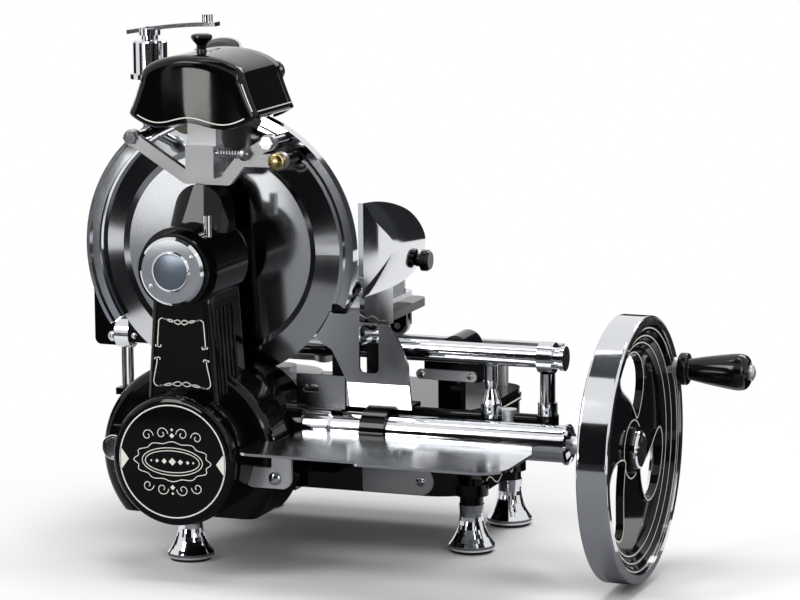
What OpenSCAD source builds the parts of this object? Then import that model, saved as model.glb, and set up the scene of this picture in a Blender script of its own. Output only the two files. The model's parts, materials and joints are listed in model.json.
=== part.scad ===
// Hand crank meat slicer: flywheel drive, round blade, sliding carriage.
// Lengths are in millimetres. X runs to the flywheel, Y to the carriage, Z up.
// Places are given from the centre of the blade; at_floor() moves the lot so
// that the origin lies under the middle of the machine on the floor.

/* [Datum] */
// height of the blade axis above the floor
blade_axis_h = 365; // [250:1:500]
// gap between neighbouring bodies
gap = 0.3; // [0.1:0.05:1]
// radial play of a running fit
fit = 0.05; // [0.02:0.01:0.1]
// play of a running fit between slides
slide_gap = 0.4; // [0.2:0.1:1]
// overshoot of a cut beyond the surface it opens
over = 1; // [0.5:0.5:3]

/* [Feet] */
// places of the four feet in plan
foot_spots = [[-33, -23], [267, 118], [265, 264], [-60, 264]]; // [-400:1:400]
// radius of the foot flange
foot_r = 27.5; // [15:0.5:40]
// radius of the foot neck
foot_neck_r = 12; // [6:0.5:20]
// radius of the foot at its top
foot_top_r = 15; // [8:0.5:25]
// thickness of the rubber sole
sole_t = 4; // [2:0.5:10]
// radius of the rubber sole
sole_r = 24; // [10:0.5:40]
// thickness of the flange rim
foot_rim_t = 5; // [2:0.5:10]
// height of the trumpet above the flange rim
foot_flare_h = 48; // [20:1:80]
// sharpness of the foot's flare
flare_power = 2.4; // [1:0.1:4]
// radius of the black leg stub above the foot
stub_r = 14; // [8:0.5:25]
// radius of the casting's lug over a foot
foot_lug_r = 20; // [14:0.5:30]
// height of that lug
foot_lug_h = 14; // [6:1:30]

/* [Base casting] */
// left, right end of the base
base_x = [-100, 278]; // [-400:1:600]
// front, back of the base
base_y = [92, 290]; // [0:1:500]
// bottom, top of the base
base_z = [-297, -195]; // [-400:1:0]
// wall thickness of the castings
wall = 8; // [4:0.5:15]
// radius of the front right corner of the base
base_front_r = 60; // [10:1:90]
// radius of the other corners of the base
base_back_r = 30; // [10:1:90]
// how far the bead along the top edge stands out
bead_out = 2; // [1:0.5:6]
// height of the bead along the top edge
bead_h = 7; // [2:0.5:15]
// half width of the bridge between base and drum
bridge_half_w = 62; // [30:1:90]
// front, back of the crankshaft pinion window
window_y = [130, 151]; // [100:1:200]
// half width of the pinion window
window_half_w = 24; // [15:1:40]
// front and back faces of the two bearing walls
bearing_wall_y = [[112, 122], [152, 160]]; // [80:1:250]
// half width of the bearing walls
bearing_half_w = 30; // [20:1:60]
// length of the vertical bearing boss under the top
crank_boss_h = 52; // [20:1:90]
// radius of the vertical bearing boss
crank_boss_r = 20; // [14:0.5:40]

// thickness of the casting's hump over the cross shaft
hump_t = 4; // [2:0.5:8]

/* [Drive housing] */
// centre of the front drum, X and Z
drum_c = [-8, -228]; // [-400:1:100]
// radius of the front drum
drum_r = 108; // [60:1:150]
// front and back of the front drum
drum_y = [-88, -30]; // [-200:1:100]
// radius of the drum's rounded front edge
drum_round = 12; // [2:1:30]
// centre of the middle drum, X and Z
mid_drum_c = [1, -233]; // [-400:1:100]
// radius of the middle drum
mid_drum_r = 97; // [60:1:150]
// back of the middle drum
mid_drum_back = 8; // [-50:1:60]
// radius of the rear drum
rear_drum_r = 83; // [60:1:120]
// back of the rear drum
rear_drum_back = 72; // [40:1:85]
// clearance of the rail bracket behind the drum
bracket_clear = 2; // [0.5:0.5:5]
// centre of the cover, neck and rear drum, Z
cover_z = -222; // [-300:1:-150]
// radius of the neck behind the cover
neck_r = 77; // [50:1:100]
// front of the neck
neck_front = -128; // [-180:1:-90]
// radius of the cover disc
cover_r = 75; // [50:1:100]
// thickness of the cover disc
cover_t = 17; // [6:1:30]
// radius of the rounded cover edge
cover_round = 6; // [1:0.5:12]
// radius of the tube boss on the drum
tube_boss_r = 29; // [22:0.5:45]
// front and back faces of the wall that carries the cross shaft
drum_wall_y = [-74, -64]; // [-100:1:0]
// half width of that wall
drum_wall_half_w = 34; // [15:1:60]
// centre of the round plug on the drum, X and Z
plug_c = [-98, -223]; // [-400:1:100]
// radius of the round plug
plug_r = 15; // [6:0.5:25]
// how far the plug stands out
plug_t = 4; // [1:0.5:8]
// width of the plug's rounded edge
plug_edge = 1; // [0.5:0.5:3]
// width of the plug's rim
plug_rim_w = 3; // [2:0.5:6]
// depth of the plug's dished face
plug_dish = 2; // [0.5:0.5:3]
// heights of the two raised lines beside the plug
panel_line_z = [-197, -252]; // [-300:1:-150]
// half thickness of a raised line
panel_line_r = 1.5; // [0.5:0.5:4]

// free space beside the blade where it dips into the drum
blade_slot_side = 4; // [2:0.5:8]
// wall around that slot
blade_slot_wall = 3.5; // [3:0.5:8]

/* [Pillar] */
// front face of the lower pillar
pillar_front = -114; // [-160:1:-80]
// back face of the pillar
pillar_back = -25; // [-60:1:-15]
// half width at the foot, at the hub and at the top
pillar_half_w = [48, 37, 33]; // [20:0.5:60]
// heights of the foot, the hub and the shoulder
pillar_z = [-200, -45, 40]; // [-260:1:100]
// front face of the pillar at its top
pillar_top_front = -58; // [-90:1:-40]
// height of the centre of the rounded top
pillar_arch_z = 54; // [20:1:90]
// radius of the rounded top
pillar_arch_r = 30; // [15:0.5:45]
// corner radius of the pillar in plan
pillar_corner = 9; // [2:0.5:20]
// thickness of the thin slices that shape the pillar
slice_t = 1; // [0.5:0.5:3]
// radius of the hub boss
hub_boss_r = 43; // [35:0.5:60]
// front of the hub boss
hub_boss_front = -134; // [-160:1:-110]
// centre height of the hub boss and its cap
hub_z = -5; // [-20:1:10]
// radius of the step behind the hub boss
hub_step_r = 48; // [40:0.5:65]
// front of the step behind the hub boss
hub_step_front = -119; // [-140:1:-100]
// radius and thickness of the bright hub cap
hub_cap_r = 39; // [30:0.5:50]
// thickness of the hub cap
hub_cap_t = 6; // [3:0.5:12]
// radius of the raised centre disc of the cap
hub_disc_r = 22; // [10:0.5:30]
// height of the raised centre disc
hub_disc_t = 1.5; // [0.5:0.5:4]
// front and back faces of the chain channel
channel_y = [-107, -84]; // [-130:1:-60]
// half width of the channel at the foot and at the hub
channel_half_w = [41, 31]; // [20:0.5:45]
// front and back faces of the weight saving void
void_y = [-76, -34]; // [-90:1:-30]
// half width of the void
void_half_w = 24; // [10:1:30]
// top of the void
void_top = -24; // [-60:1:0]
// radius of a flute on the pillar's side
flute_r = 2.4; // [1:0.2:5]
// places of the flutes along Y
flute_y = [-101, -90, -79, -68, -57]; // [-120:1:-30]
// bottom of the flutes
flute_foot_z = -150; // [-200:1:-100]
// top of the flutes
flute_top_z = -52; // [-80:1:60]
// place of the oiler
oiler_at = [28, -100, 20]; // [-120:1:120]
// radius of the oiler
oiler_r = 5; // [2:0.5:10]
// height of the oiler
oiler_h = 11; // [4:0.5:20]

/* [Blade] */
// radius of the blade
blade_r = 150; // [100:1:200]
// back face of the blade
blade_back = 3; // [0:0.5:10]
// thickness of the blade at its middle
blade_t = 7; // [3:0.5:12]
// thickness of the blade at its edge
edge_t = 0.8; // [0.4:0.1:2]
// inner radius of the ground bevel
bevel_r = 121; // [80:1:140]
// thickness of the plate inside the bevel
blade_web_t = 3.5; // [2:0.5:8]
// radius of the hub clamped to the blade
blade_hub_r = 26; // [15:1:50]
// front of that hub
blade_hub_front = -22; // [-24:1:-10]
// radius of the blade shaft
blade_shaft_r = 12; // [8:0.5:20]
// front end of the blade shaft
blade_shaft_front = -128; // [-150:1:-100]
// clearance of the blade shaft in the pillar's boss
boss_clear = 1; // [0.5:0.5:3]
// number of clamp screws on the back of the blade
blade_screws = 4; // [3:1:8]
// radius of a clamp screw head
blade_screw_r = 4.5; // [2:0.5:8]
// circle of the clamp screws
blade_screw_circle = 18; // [10:1:40]

/* [Guard ring and wishbone] */
// clearance of the guard ring round the blade
ring_clear = 1.5; // [0.5:0.5:5]
// width of the guard ring
ring_w = 16.5; // [8:0.5:30]
// front and back of the guard ring
ring_y = [-6, 9]; // [-20:1:20]
// first and last angles of the guard ring's two arcs
ring_a = [[-21, 70], [110, 214]]; // [-60:1:260]
// depth of the groove in the front of the ring
ring_groove = 4; // [1:0.5:8]
// width of the ring's two raised edges
ring_edge = 4; // [1:0.5:7]
// front and back of the wishbone plate
wish_y = [-56, -47]; // [-80:1:-20]
// end of a wishbone arm, X and Z
wish_end = [85, 134]; // [50:1:150]
// elbow of a wishbone arm, X and Z
wish_elbow = [52, 113]; // [30:1:100]
// left and right end of the saddle bar
wish_saddle_x = [-17, 34]; // [-60:1:60]
// height of the saddle bar
wish_saddle_z = 91; // [70:1:110]
// half width of a wishbone arm
wish_half_w = 7.5; // [4:0.5:12]
// radius of the eyes at the arms' ends
wish_eye_r = 9.5; // [6:0.5:14]
// left, right of the stem block
stem_x = [-12, 23]; // [-40:1:60]
// front, back of the stem block
stem_y = [-68, -38]; // [-80:1:-20]
// bottom, top of the stem block
stem_z = [92, 129]; // [60:1:160]
// radius of the ring bolts
ring_bolt_r = 4; // [2:0.5:8]
// radius of the bolts' spacer sleeves
spacer_r = 6.2; // [4:0.1:8]
// radius of the bolts' heads
bolt_head_r = 8; // [5:0.5:14]
// thickness of a bolt head
bolt_head_t = 5; // [2:0.5:9]
// place of the brass faced knob, X and Z
brass_at = [98, 114]; // [50:1:150]
// radius of the brass faced knob
brass_r = 10; // [6:0.5:18]
// thickness of the brass faced knob
brass_t = 10; // [4:0.5:18]
// radius of the knob's stem
brass_stem_r = 5; // [3:0.5:8]
// back end of the knob's stem
brass_back = -14; // [-40:1:-8]
// radius of the knob's black body
brass_body_r = 8; // [5:0.5:14]

/* [Spring] */
// left, right end of the coil spring
spring_x = [26, 56]; // [0:1:100]
// height of the spring axis
spring_z = 121; // [90:1:140]
// distance of the spring axis from the blade plane
spring_y = -62.3; // [-80:0.5:-20]
// mean radius of the coil
spring_r = 5; // [3:0.25:9]
// radius of the spring wire
wire_r = 0.8; // [0.4:0.1:2]
// number of curls
spring_turns = 8; // [4:1:14]
// radius of the rod inside the spring
spring_rod_r = 2.5; // [1.5:0.25:4]

/* [Sharpener] */
// half width of the hood at its foot and at its shoulder
hood_half_w = [79, 62]; // [30:1:110]
// front, back of the hood
hood_y = [-75, 45]; // [-110:1:80]
// heights of the hood's corners, dips, middle, shoulder and crown
hood_z = [165, 150, 157, 207, 232]; // [120:1:280]
// distance of the dips from the middle
hood_dip_x = 40; // [20:1:70]
// how far the hood's front and back edges are rounded
hood_round = 9; // [2:1:20]
// wall thickness of the hood
hood_t = 4; // [2:0.5:8]
// place of the hood's top knob in plan
hood_knob_at = [-4, -34]; // [-80:1:60]
// height and radius of the top knob
hood_knob_h = 25; // [10:1:40]
// radius of the top knob
hood_knob_r = 12.5; // [6:0.5:20]
// radius of the top knob along its height, shares of its radius
knob_r_share = [0, 0.62, 0.42, 0.5, 0.9, 1, 0.92, 0.6, 0]; // [0:0.01:1]
// heights where those radii lie, shares of its height
knob_h_share = [0, 0, 0.3, 0.5, 0.72, 0.84, 0.95, 1, 1]; // [0:0.01:1]
// place of the push knob, X and Z
push_at = [46, 203]; // [20:1:260]
// radius of the push knob along its length, shares of the top knob's radius
push_r_share = [0, 0.7, 1, 1, 0.6, 0]; // [0:0.05:1]
// lengths where those radii lie, shares of the top knob's radius
push_l_share = [0, 0, 0.3, 0.7, 1, 1]; // [0:0.05:1]
// half width of the slot behind the push rods
push_slot_half_w = 6; // [3:0.5:10]
// radius of a sharpening stone
stone_r = 22; // [10:1:40]
// thickness of a sharpening stone
stone_t = 9; // [4:0.5:15]
// centre of the front stone, X and Z
stone_front_at = [-30, 158]; // [-70:1:180]
// centre of the rear stone, X and Z
stone_rear_at = [34, 158]; // [-70:1:180]
// gap between a parked stone and the blade edge
stone_park = 9; // [5:0.5:15]
// how far a stone is pressed towards the blade
stone_travel = 6; // [3:0.5:9]
// radius of a stone spindle
spindle_r = 5; // [3:0.5:8]
// left, right of the sharpener yoke
yoke_x = [-52, 56]; // [-75:1:75]
// front, back of the yoke beam
yoke_y = [-60, -44]; // [-75:1:0]
// bottom, top of the yoke beam
yoke_z = [172, 190]; // [150:1:220]
// half width of a yoke cheek
yoke_half_w = 10; // [6:0.5:16]

/* [Shaft tube and tray] */
// axis of the drive shaft, Y
drive_y = 10; // [-20:1:40]
// axis of the drive shaft and the cross shaft, Z
drive_z = -205; // [-260:1:-150]
// radius of the shaft tube
tube_r = 21; // [12:0.5:35]
// left end of the tube
tube_left = 105; // [80:1:150]
// right end of the tube
tube_right = 419; // [300:1:500]
// bore radius of the tube
tube_bore_r = 17; // [11:0.5:30]
// length of the bearing at each end of the tube
tube_bearing = 24; // [10:1:50]
// radius of the tube's left collar
tube_collar_r = 25; // [20:0.5:40]
// length of the tube's left collar
tube_collar_l = 31; // [10:1:60]
// radius of the end flange
flange_r = 23.5; // [20:0.5:40]
// thickness of the end flange
flange_t = 8; // [3:0.5:15]
// thickness of the tray plate
tray_t = 3; // [1.5:0.5:6]
// front of the tray's left half
tray_front = -157; // [-220:1:-100]
// how far the tray's middle steps forward
tray_step = 12; // [0:1:30]
// left end of the tray ahead of the drum
tray_left = 82; // [60:1:120]
// left end of the tray beside the drum
tray_left_back = 106; // [80:1:140]
// right end of the tray
tray_right = 400; // [300:1:460]
// corner radius of the tray
tray_corner = 16; // [4:1:40]
// back corner of the tray at its right end
tray_right_y = -62; // [-120:1:-20]
// left, right of the tray bracket
tray_arm_x = [66, 124]; // [40:1:200]
// half height of the tray bracket
tray_arm_half_h = 12; // [6:1:20]
// height of the tray bracket's middle
tray_arm_z = -245; // [-280:1:-220]
// thickness of the tray bracket
tray_arm_t = 5; // [2:0.5:10]

/* [Plates beside the blade] */
// front face of the gauge plate
gauge_y = 0; // [-5:0.5:5]
// thickness of the gauge plate
gauge_t = 4; // [2:0.5:8]
// left, right of the gauge plate
gauge_x = [116, 233]; // [80:1:300]
// bottom, top of the gauge plate
gauge_z = [-147, -59]; // [-180:1:-30]
// outline of the gauge plate, shares of its width and height
gauge_outline_share = [[0.35, 0], [1, 0], [0.985, 0.28], [0.92, 0.5], [0.86, 0.66], [0.77, 0.79],
    [0.487, 0.8], [0.47, 1], [0.34, 0.9], [0.12, 0.9], [0, 0.57], [0.19, 0.42]]; // [0:0.005:1]
// clearance between the gauge plate and the blade edge
gauge_clear = 2; // [1:0.5:5]
// left, right of the slot in the gauge plate
gauge_slot_x = [172, 196]; // [150:1:230]
// bottom, top of the slot
gauge_slot_z = [-135, -79]; // [-150:1:-60]
// corner radius of the slot
gauge_slot_r = 6; // [2:0.5:12]
// lower end of the deflector under the gauge plate
deflect_z = -177; // [-200:1:-150]
// how far the deflector's lower end lies back
deflect_back = 10; // [0:1:25]
// left, right of the left deflector
left_plate_x = [93, 153]; // [60:1:180]
// bottom, top of the left deflector
left_plate_z = [-182, -141]; // [-200:1:-120]
// front face of the left deflector
left_plate_y = 2; // [-5:0.5:10]
// thickness of the left deflector
left_plate_t = 3; // [1:0.5:6]
// left, right of the slot in the left deflector
left_slot_x = [101, 121]; // [95:1:150]
// bottom, top of that slot
left_slot_z = [-162, -153]; // [-180:1:-145]
// left, right of the stand behind the plates
stand_x = [176, 206]; // [150:1:240]
// front, back of the stand
stand_y = [13.5, 23.5]; // [5:1:30]
// top of the stand
stand_top = -103; // [-120:1:-50]
// radius of the stand's clamp around the tube
stand_clamp_r = 26; // [22:0.5:40]
// radius of the two guide pins of the gauge plate
guide_pin_r = 4; // [2:0.5:8]
// place of the guide pins along X
guide_pin_x = 203; // [180:1:220]
// heights of the two guide pins
guide_pin_z = [-112, -140]; // [-150:1:-60]
// length of the guide pins
guide_pin_l = 25; // [10:1:40]

/* [Index lever] */
// pivot of the index lever, X and Z
index_at = [158, -41]; // [100:1:200]
// low end of the index lever, X and Z
index_end = [137, -73]; // [100:1:200]
// front, back of the lever
index_y = [19, 23]; // [10:1:40]
// half width of the lever at its pivot
index_half_w = 10; // [5:0.5:16]
// half width of the lever at its low end
index_tip_w = 8; // [4:0.5:14]
// thickness of the index lever's end collar
index_collar_t = 0.9; // [0.3:0.1:3]
// bevel of that collar
index_collar_edge = 1; // [0.5:0.5:2]
// right end of the grip, X and Z
index_grip_end = [199, -83]; // [150:1:240]
// radii of the grip: necks, ball, end ball, stem and axis
index_grip_r = [4, 8.5, 6.5, 2, 0]; // [0:0.5:12]
// which of those radii follow each other along the grip
index_r_pick = [4, 3, 3, 1, 1, 0, 1, 1, 0, 2, 2, 0, 4]; // [0:1:4]
// where they lie, shares of the grip's length
index_l_share = [0, 0, 0.17, 0.18, 0.28, 0.44, 0.54, 0.62, 0.72, 0.78, 0.83, 0.88, 0.88]; // [0:0.01:1]
// where the grip starts, share of the way to its right end
grip_start_share = 0.12; // [0:0.01:0.5]
// left, right of the lever's post
post_x = [135, 149]; // [120:1:200]
// front, back of the lever's post
post_y = [9.5, 17.5]; // [5:0.5:30]
// radius of the pivot screw
index_pin_r = 4; // [2:0.5:6]

/* [Rail and posts] */
// radius of the rail
rail_r = 12.5; // [6:0.5:20]
// axis of the rail, Y and Z
rail_at = [70, -118]; // [-150:1:120]
// left, right end of the rail
rail_x = [-165, 394]; // [-300:1:500]
// radius of the rail's end cap
rail_cap_r = 14.5; // [10:0.5:20]
// length of the rail's end cap
rail_cap_l = 5; // [2:0.5:10]
// places of the left post's two rods along X
left_rod_x = [-158, -149]; // [-200:1:-120]
// radius of the left post's rods
left_rod_r = 3.5; // [2:0.5:6]
// bottom of the left post
left_rod_z = -185; // [-220:1:-150]
// half length of the left rail head along X
rail_head_half = 9; // [4:0.5:20]
// radius of the rail heads
rail_head_r = 18; // [14:0.5:24]
// radius and X place of the right post
right_post_x = 377; // [340:1:420]
// radii of the right post from top to bottom
right_post_r = [9, 11.5, 13]; // [5:0.5:20]
// heights where the right post changes, from top to bottom
right_post_z = [-136, -170, -185, -199]; // [-240:1:-120]
// radius of the side arm
arm_r = 6; // [3:0.5:12]
// axis of the side arm, Y and Z
arm_at = [70, -191]; // [-240:1:120]
// left end of the side arm
arm_left = 206; // [180:1:300]
// place of the grey boss on the arm along X
arm_boss_x = 330; // [290:1:360]
// radius of the grey boss
arm_boss_r = 9; // [7:0.5:18]
// half height of the grey boss
arm_boss_half_h = 10; // [5:0.5:20]
// place of the baluster along X
baluster_x = 308; // [280:1:340]
// radii along the baluster, from its foot up
baluster_r = [0, 12, 12, 10, 6, 8, 8, 0]; // [0:0.5:25]
// heights where those radii lie, shares of its height
baluster_h_share = [0, 0, 0.28, 0.36, 0.55, 0.72, 1, 1]; // [0:0.01:1]
// bottom of the baluster
baluster_z = -192; // [-200:1:-160]
// left, right of the feed box
box_x = [218, 295]; // [180:1:340]
// front, back of the feed box
box_y = [92, 138]; // [85:1:180]
// bottom, top of the feed box
box_z = [-157, -121]; // [-200:1:-105]
// corner radius of the feed box
box_r = 12; // [4:1:18]
// radius of the arched rib on the feed box
box_arch_r = 18; // [8:1:25]
// thickness of the feed box's leg
box_leg_t = 14; // [6:1:30]
// left, right of the link bar
link_x = [209, 284]; // [180:1:320]
// height of the link bar's middle
link_z = -150; // [-180:1:-130]
// half height of the link bar
link_half_h = 6; // [3:0.5:12]
// thickness of the link bar
link_t = 4; // [2:0.5:8]
// axis of the rear track, Y
track_y = 274; // [230:1:285]
// half width of the rear track
track_half_w = 6; // [3:0.5:12]
// bottom, top of the rear track
track_z = [-152, -140]; // [-180:1:-120]
// left, right end of the rear track
track_x = [-168, 330]; // [-250:1:400]
// places of the rear track's posts along X
track_post_x = [-88, 252]; // [-200:1:350]
// radius of the rear track's posts
track_post_r = 8; // [5:0.5:14]
// left, right of the data plate
data_x = [140, 229]; // [100:1:260]
// bottom, top of the data plate
data_z = [-296, -262]; // [-300:1:-220]
// thickness of the data plate
data_t = 1.5; // [0.5:0.5:4]

/* [Flywheel] */
// radius of the flywheel
fly_r = 151.5; // [100:0.5:200]
// back, front of the flywheel's rim along X
fly_x = [477, 513]; // [400:1:600]
// thickness of the bright rim
rim_t = 10.5; // [5:0.5:20]
// rounding of the rim's edges
rim_round = 3; // [1:0.5:6]
// steps of the dish, from the rim inwards
dish_r = [134, 131, 126, 123, 118, 115]; // [80:0.5:140]
// depth of each step of the dish
dish_drop = 4; // [1:0.5:8]
// thickness of the web
web_t = 7; // [4:0.5:14]
// radius of the hub
fly_hub_r = 27; // [16:0.5:40]
// bevel of the hub's front edge
fly_hub_edge = 2; // [0.5:0.5:5]
// back, front of the hub along X
fly_hub_x = [462, 503]; // [430:1:520]
// radius of the hub's back collar
fly_collar_r = 19; // [14:0.5:30]
// number of openings in the web
web_windows = 3; // [3:1:6]
// middle radius of an opening
window_mid_r = 75; // [50:1:100]
// half the radial length of an opening
window_half_l = 38; // [20:1:50]
// half angle of an opening
window_half_a = 33; // [10:1:45]
// share of that angle at the inner end of an opening
window_inner_share = 0.55; // [0.2:0.05:1]
// twist of an opening from its inner to its outer end
window_twist = 15; // [0:1:40]
// height of the bead around an opening
window_bead_h = 2; // [0.5:0.5:4]
// width of the bead around an opening
window_bead_w = 3; // [1:0.5:6]
// radius of the flywheel's hub cap
fly_cap_r = 22; // [12:0.5:30]
// thickness of the flywheel's hub cap
fly_cap_t = 7; // [3:0.5:14]
// radius from the axis to the handle
handle_arm = 134.5; // [80:0.5:140]
// angle of the handle about the axis
handle_a = 33; // [0:1:360]
// radius of the handle pin
pin_r = 5.5; // [3:0.5:8]
// how far the handle's cap stands ahead of the flywheel
handle_reach = 95; // [60:1:150]
// thickness of the handle's bright cap
handle_cap_t = 5; // [2:0.5:10]
// radius of the handle's bright cap
handle_cap_r = 9; // [5:0.5:15]
// radii along the grip, from the flywheel outwards
grip_r = [13, 18.5, 18.5, 13, 13.5, 17, 20.5, 21, 19, 14, 10]; // [6:0.5:30]
// shares of the grip's length where those radii lie
grip_share = [0, 0.03, 0.14, 0.2, 0.34, 0.48, 0.64, 0.76, 0.88, 0.96, 1]; // [0:0.01:1]
// radius of the drive shaft
drive_r = 10; // [6:0.5:16]
// left end of the drive shaft along X
drive_left = 22; // [15:1:40]

/* [Gears and chain] */
// mean radius of a crown wheel's teeth
crown_r = 45; // [30:1:70]
// number of teeth of a crown wheel
crown_teeth = 40; // [20:1:60]
// radius of a pinion's pitch circle
pinion_r = 18; // [10:0.5:30]
// number of teeth of a pinion
pinion_teeth = 16; // [10:1:30]
// height of a tooth above the pitch line
tooth_up = 2; // [1:0.1:4]
// depth of a tooth below the pitch line
tooth_down = 2.6; // [1:0.1:4]
// half thickness of a tooth at its root
tooth_root_w = 1.6; // [0.8:0.1:3]
// half thickness of a tooth at its tip
tooth_tip_w = 0.8; // [0.3:0.1:2]
// face width of the teeth
tooth_face = 9; // [5:0.5:20]
// thickness of a crown wheel's disc
crown_t = 7; // [3:0.5:12]
// middle of the front pinion along Y, from the drive shaft axis
pinion_front_y = -35; // [-80:1:0]
// middle of the rear pinion along Y
pinion_rear_y = 140; // [100:1:200]
// width of a pinion's hub
pinion_hub_w = 16; // [8:1:30]
// radius of the cross shaft
cross_r = 9; // [5:0.5:15]
// front, back end of the cross shaft
cross_y = [-118, 162]; // [-140:1:250]
// plane of the sprockets along Y
sprocket_y = -95; // [-120:1:-70]
// teeth of the lower and the upper sprocket
sprocket_teeth = [20, 15]; // [10:1:40]
// pitch of the chain
chain_pitch = 9.6; // [6:0.1:16]
// number of links in the chain
chain_links = 60; // [30:2:120]
// radius of a chain roller
roller_r = 2.6; // [1:0.1:5]
// half width between the chain's plates
chain_inner = 3.1; // [1:0.1:8]
// thickness of a chain plate
link_plate_t = 1; // [0.5:0.1:3]
// half height of a chain plate at a roller
link_eye_r = 4; // [2:0.1:7]
// half height of a chain plate between rollers
link_waist = 2.9; // [1:0.1:6]
// thickness of a sprocket
sprocket_t = 4.6; // [2:0.1:8]
// wall of the lower, upper sprocket's hub
sprocket_hub_w = [5, 4]; // [2:0.5:10]

/* [Crank and connecting rod] */
// axis of the crankshaft, Y
crank_y = 185; // [150:1:230]
// radius of the crankshaft
crank_shaft_r = 10; // [6:0.5:16]
// throw of the crank
crank_throw = 90; // [50:1:110]
// thickness of the crank arm
crank_t = 8; // [4:0.5:14]
// radius of the crank arm's hub
crank_hub_r = 18; // [12:0.5:30]
// radius of the crank arm's end
crank_end_r = 11; // [8:0.5:20]
// half width of the crank arm
crank_half_w = 8; // [4:0.5:16]
// height of the crank pin above the arm
crank_pin_h = 7; // [4:0.5:14]
// clearance between the crank pin's top and the rod
rod_lift = 2; // [0.5:0.5:5]
// radius of the crank pin
crank_pin_r = 7; // [4:0.5:12]
// length of the connecting rod
rod_l = 145; // [100:1:220]
// thickness of the connecting rod
rod_t = 7; // [4:0.5:12]
// half width of the connecting rod
rod_half_w = 6; // [3:0.5:12]
// radius of the rod's big eye
rod_big_r = 12; // [10:0.5:22]
// radius of the rod's small eye
rod_small_r = 12; // [8:0.5:20]
// radius of the rod's pin under the carriage
rod_pin_r = 6; // [3:0.5:10]
// rim of the rod pin's washer
rod_washer_w = 2; // [1:0.5:5]
// thickness of that washer
rod_washer_t = 1; // [0.5:0.5:3]

/* [Carriage] */
// left, right end of the deck
deck_x = [-196, 160]; // [-300:1:300]
// front, back of the deck
deck_y = [88, 266]; // [60:1:320]
// bottom, top of the deck
deck_z = [-99, -89]; // [-130:1:-50]
// corner radius of the deck
deck_r = 14; // [4:1:30]
// left and right ends of the two rail saddles
saddle_x = [[-143, -103], [110, 150]]; // [-250:1:250]
// half width of a rail saddle
saddle_half_w = 19; // [15:1:30]
// bottom of a rail saddle
saddle_z = -126; // [-130:1:-110]
// left, right of the end box
end_box_x = [-207, -169]; // [-300:1:-150]
// front, back of the end box
end_box_y = [93.5, 116]; // [84:1:160]
// bottom, top of the end box
end_box_z = [-139, -63]; // [-180:1:-40]
// corner radius of the end box
end_box_r = 8; // [2:1:16]
// radius of a rear roller
wheel_r = 12; // [6:0.5:20]
// width of a rear roller
wheel_w = 9; // [5:0.5:15]
// places of the rear rollers along X
wheel_x = [-150, 120]; // [-250:1:250]
// thickness of a roller bracket
wheel_cheek = 5; // [2:0.5:10]
// radius of a roller pin
wheel_pin_r = 4; // [2:0.5:8]
// half width of the two slides on the deck
way_half_w = 8; // [4:0.5:14]
// places of the two slides on the deck along X
way_x = [-120, 90]; // [-250:1:250]
// height of the slides
way_h = 5; // [2:0.5:10]
// place of the feed screw along X
screw_x = -15; // [-150:1:150]
// radius of the feed screw
screw_r = 5; // [3:0.5:10]
// pitch of the feed screw
screw_pitch = 8; // [2:0.5:20]
// front, back end of the feed screw
screw_y = [98, 292]; // [60:1:320]
// height of the feed screw's axis
screw_z = -111; // [-130:1:-105]
// fronts of the two screw blocks under the deck
screw_block_y = [100, 254]; // [80:1:280]
// half width of the table's nut
nut_half_w = 9; // [6:0.5:14]
// front, back of the table's nut
nut_y = [222, 238]; // [150:1:250]
// front, back of the nut's slot in the deck
nut_slot_y = [160, 242]; // [120:1:252]
// radius of the feed handle's disc
feed_wheel_r = 18; // [10:1:40]
// thickness of the feed handle's disc
feed_wheel_t = 7; // [3:0.5:14]

/* [Meat table and fence] */
// left, right end of the table
table_x = [-167.5, 150]; // [-300:1:300]
// front, back of the table
table_y = [98, 246]; // [60:1:300]
// thickness of the table
table_t = 6; // [3:0.5:12]
// corner radius of the table
table_r = 12; // [4:1:30]
// height of the table's rear lip
lip_h = 26; // [5:1:60]
// thickness of the lip
lip_t = 4; // [2:0.5:8]
// left face of the fence
fence_x = 160; // [120:1:200]
// thickness of the fence
fence_t = 6; // [3:0.5:12]
// front, back of the fence
fence_y = [31, 240]; // [20:1:280]
// bottom, top of the fence
fence_z = [-55, 57]; // [-90:1:100]
// outline of the fence, shares of its length and height
fence_outline_share = [[0, 0.02], [0.35, 0], [0.6, 0.01], [0.79, 0.06], [0.9, 0.15], [0.97, 0.23], [1, 0.34],
    [0.985, 0.43], [0.93, 0.53], [0.85, 0.63], [0.73, 0.74], [0.58, 0.83], [0.4, 0.91], [0.2, 0.97],
    [0, 1]]; // [0:0.005:1]
// front, back of the fence's foot
fence_foot_y = [34, 128]; // [20:1:200]
// place of the fence knob, Y and Z
fence_knob_at = [212, -36]; // [-80:1:260]
// radius of the fence knob
fence_knob_r = 13; // [6:0.5:20]
// length of the fence knob
fence_knob_l = 17; // [6:1:30]
// radius of the fence knob along its length, shares of its radius
fence_knob_r_share = [0, 0.6, 0.6, 1, 1, 0.8, 0]; // [0:0.05:1]
// lengths where those radii lie, shares of its length
fence_knob_l_share = [0, 0, 0.25, 0.4, 0.8, 1, 1]; // [0:0.05:1]

/* [Meat clamp] */
// place of the clamp post in plan
clamp_at = [-153, 150]; // [-250:1:250]
// radius of the clamp post
clamp_post_r = 10; // [6:0.5:16]
// radius of the clamp post's foot
post_foot_r = 14; // [10:0.5:20]
// radius of the lever's pivot pin
lever_pin_r = 5; // [3:0.5:8]
// top of the clamp post
clamp_top = 232; // [150:1:280]
// radius of the clamp barrel
barrel_r = 21; // [14:0.5:30]
// bottom, top of the clamp barrel
barrel_z = [180, 226]; // [100:1:260]
// bevel of the clamp barrel's top edge
barrel_edge = 2; // [0.5:0.5:5]
// radius of the barrel's lower flange
barrel_flange_r = 25; // [18:0.5:35]
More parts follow.
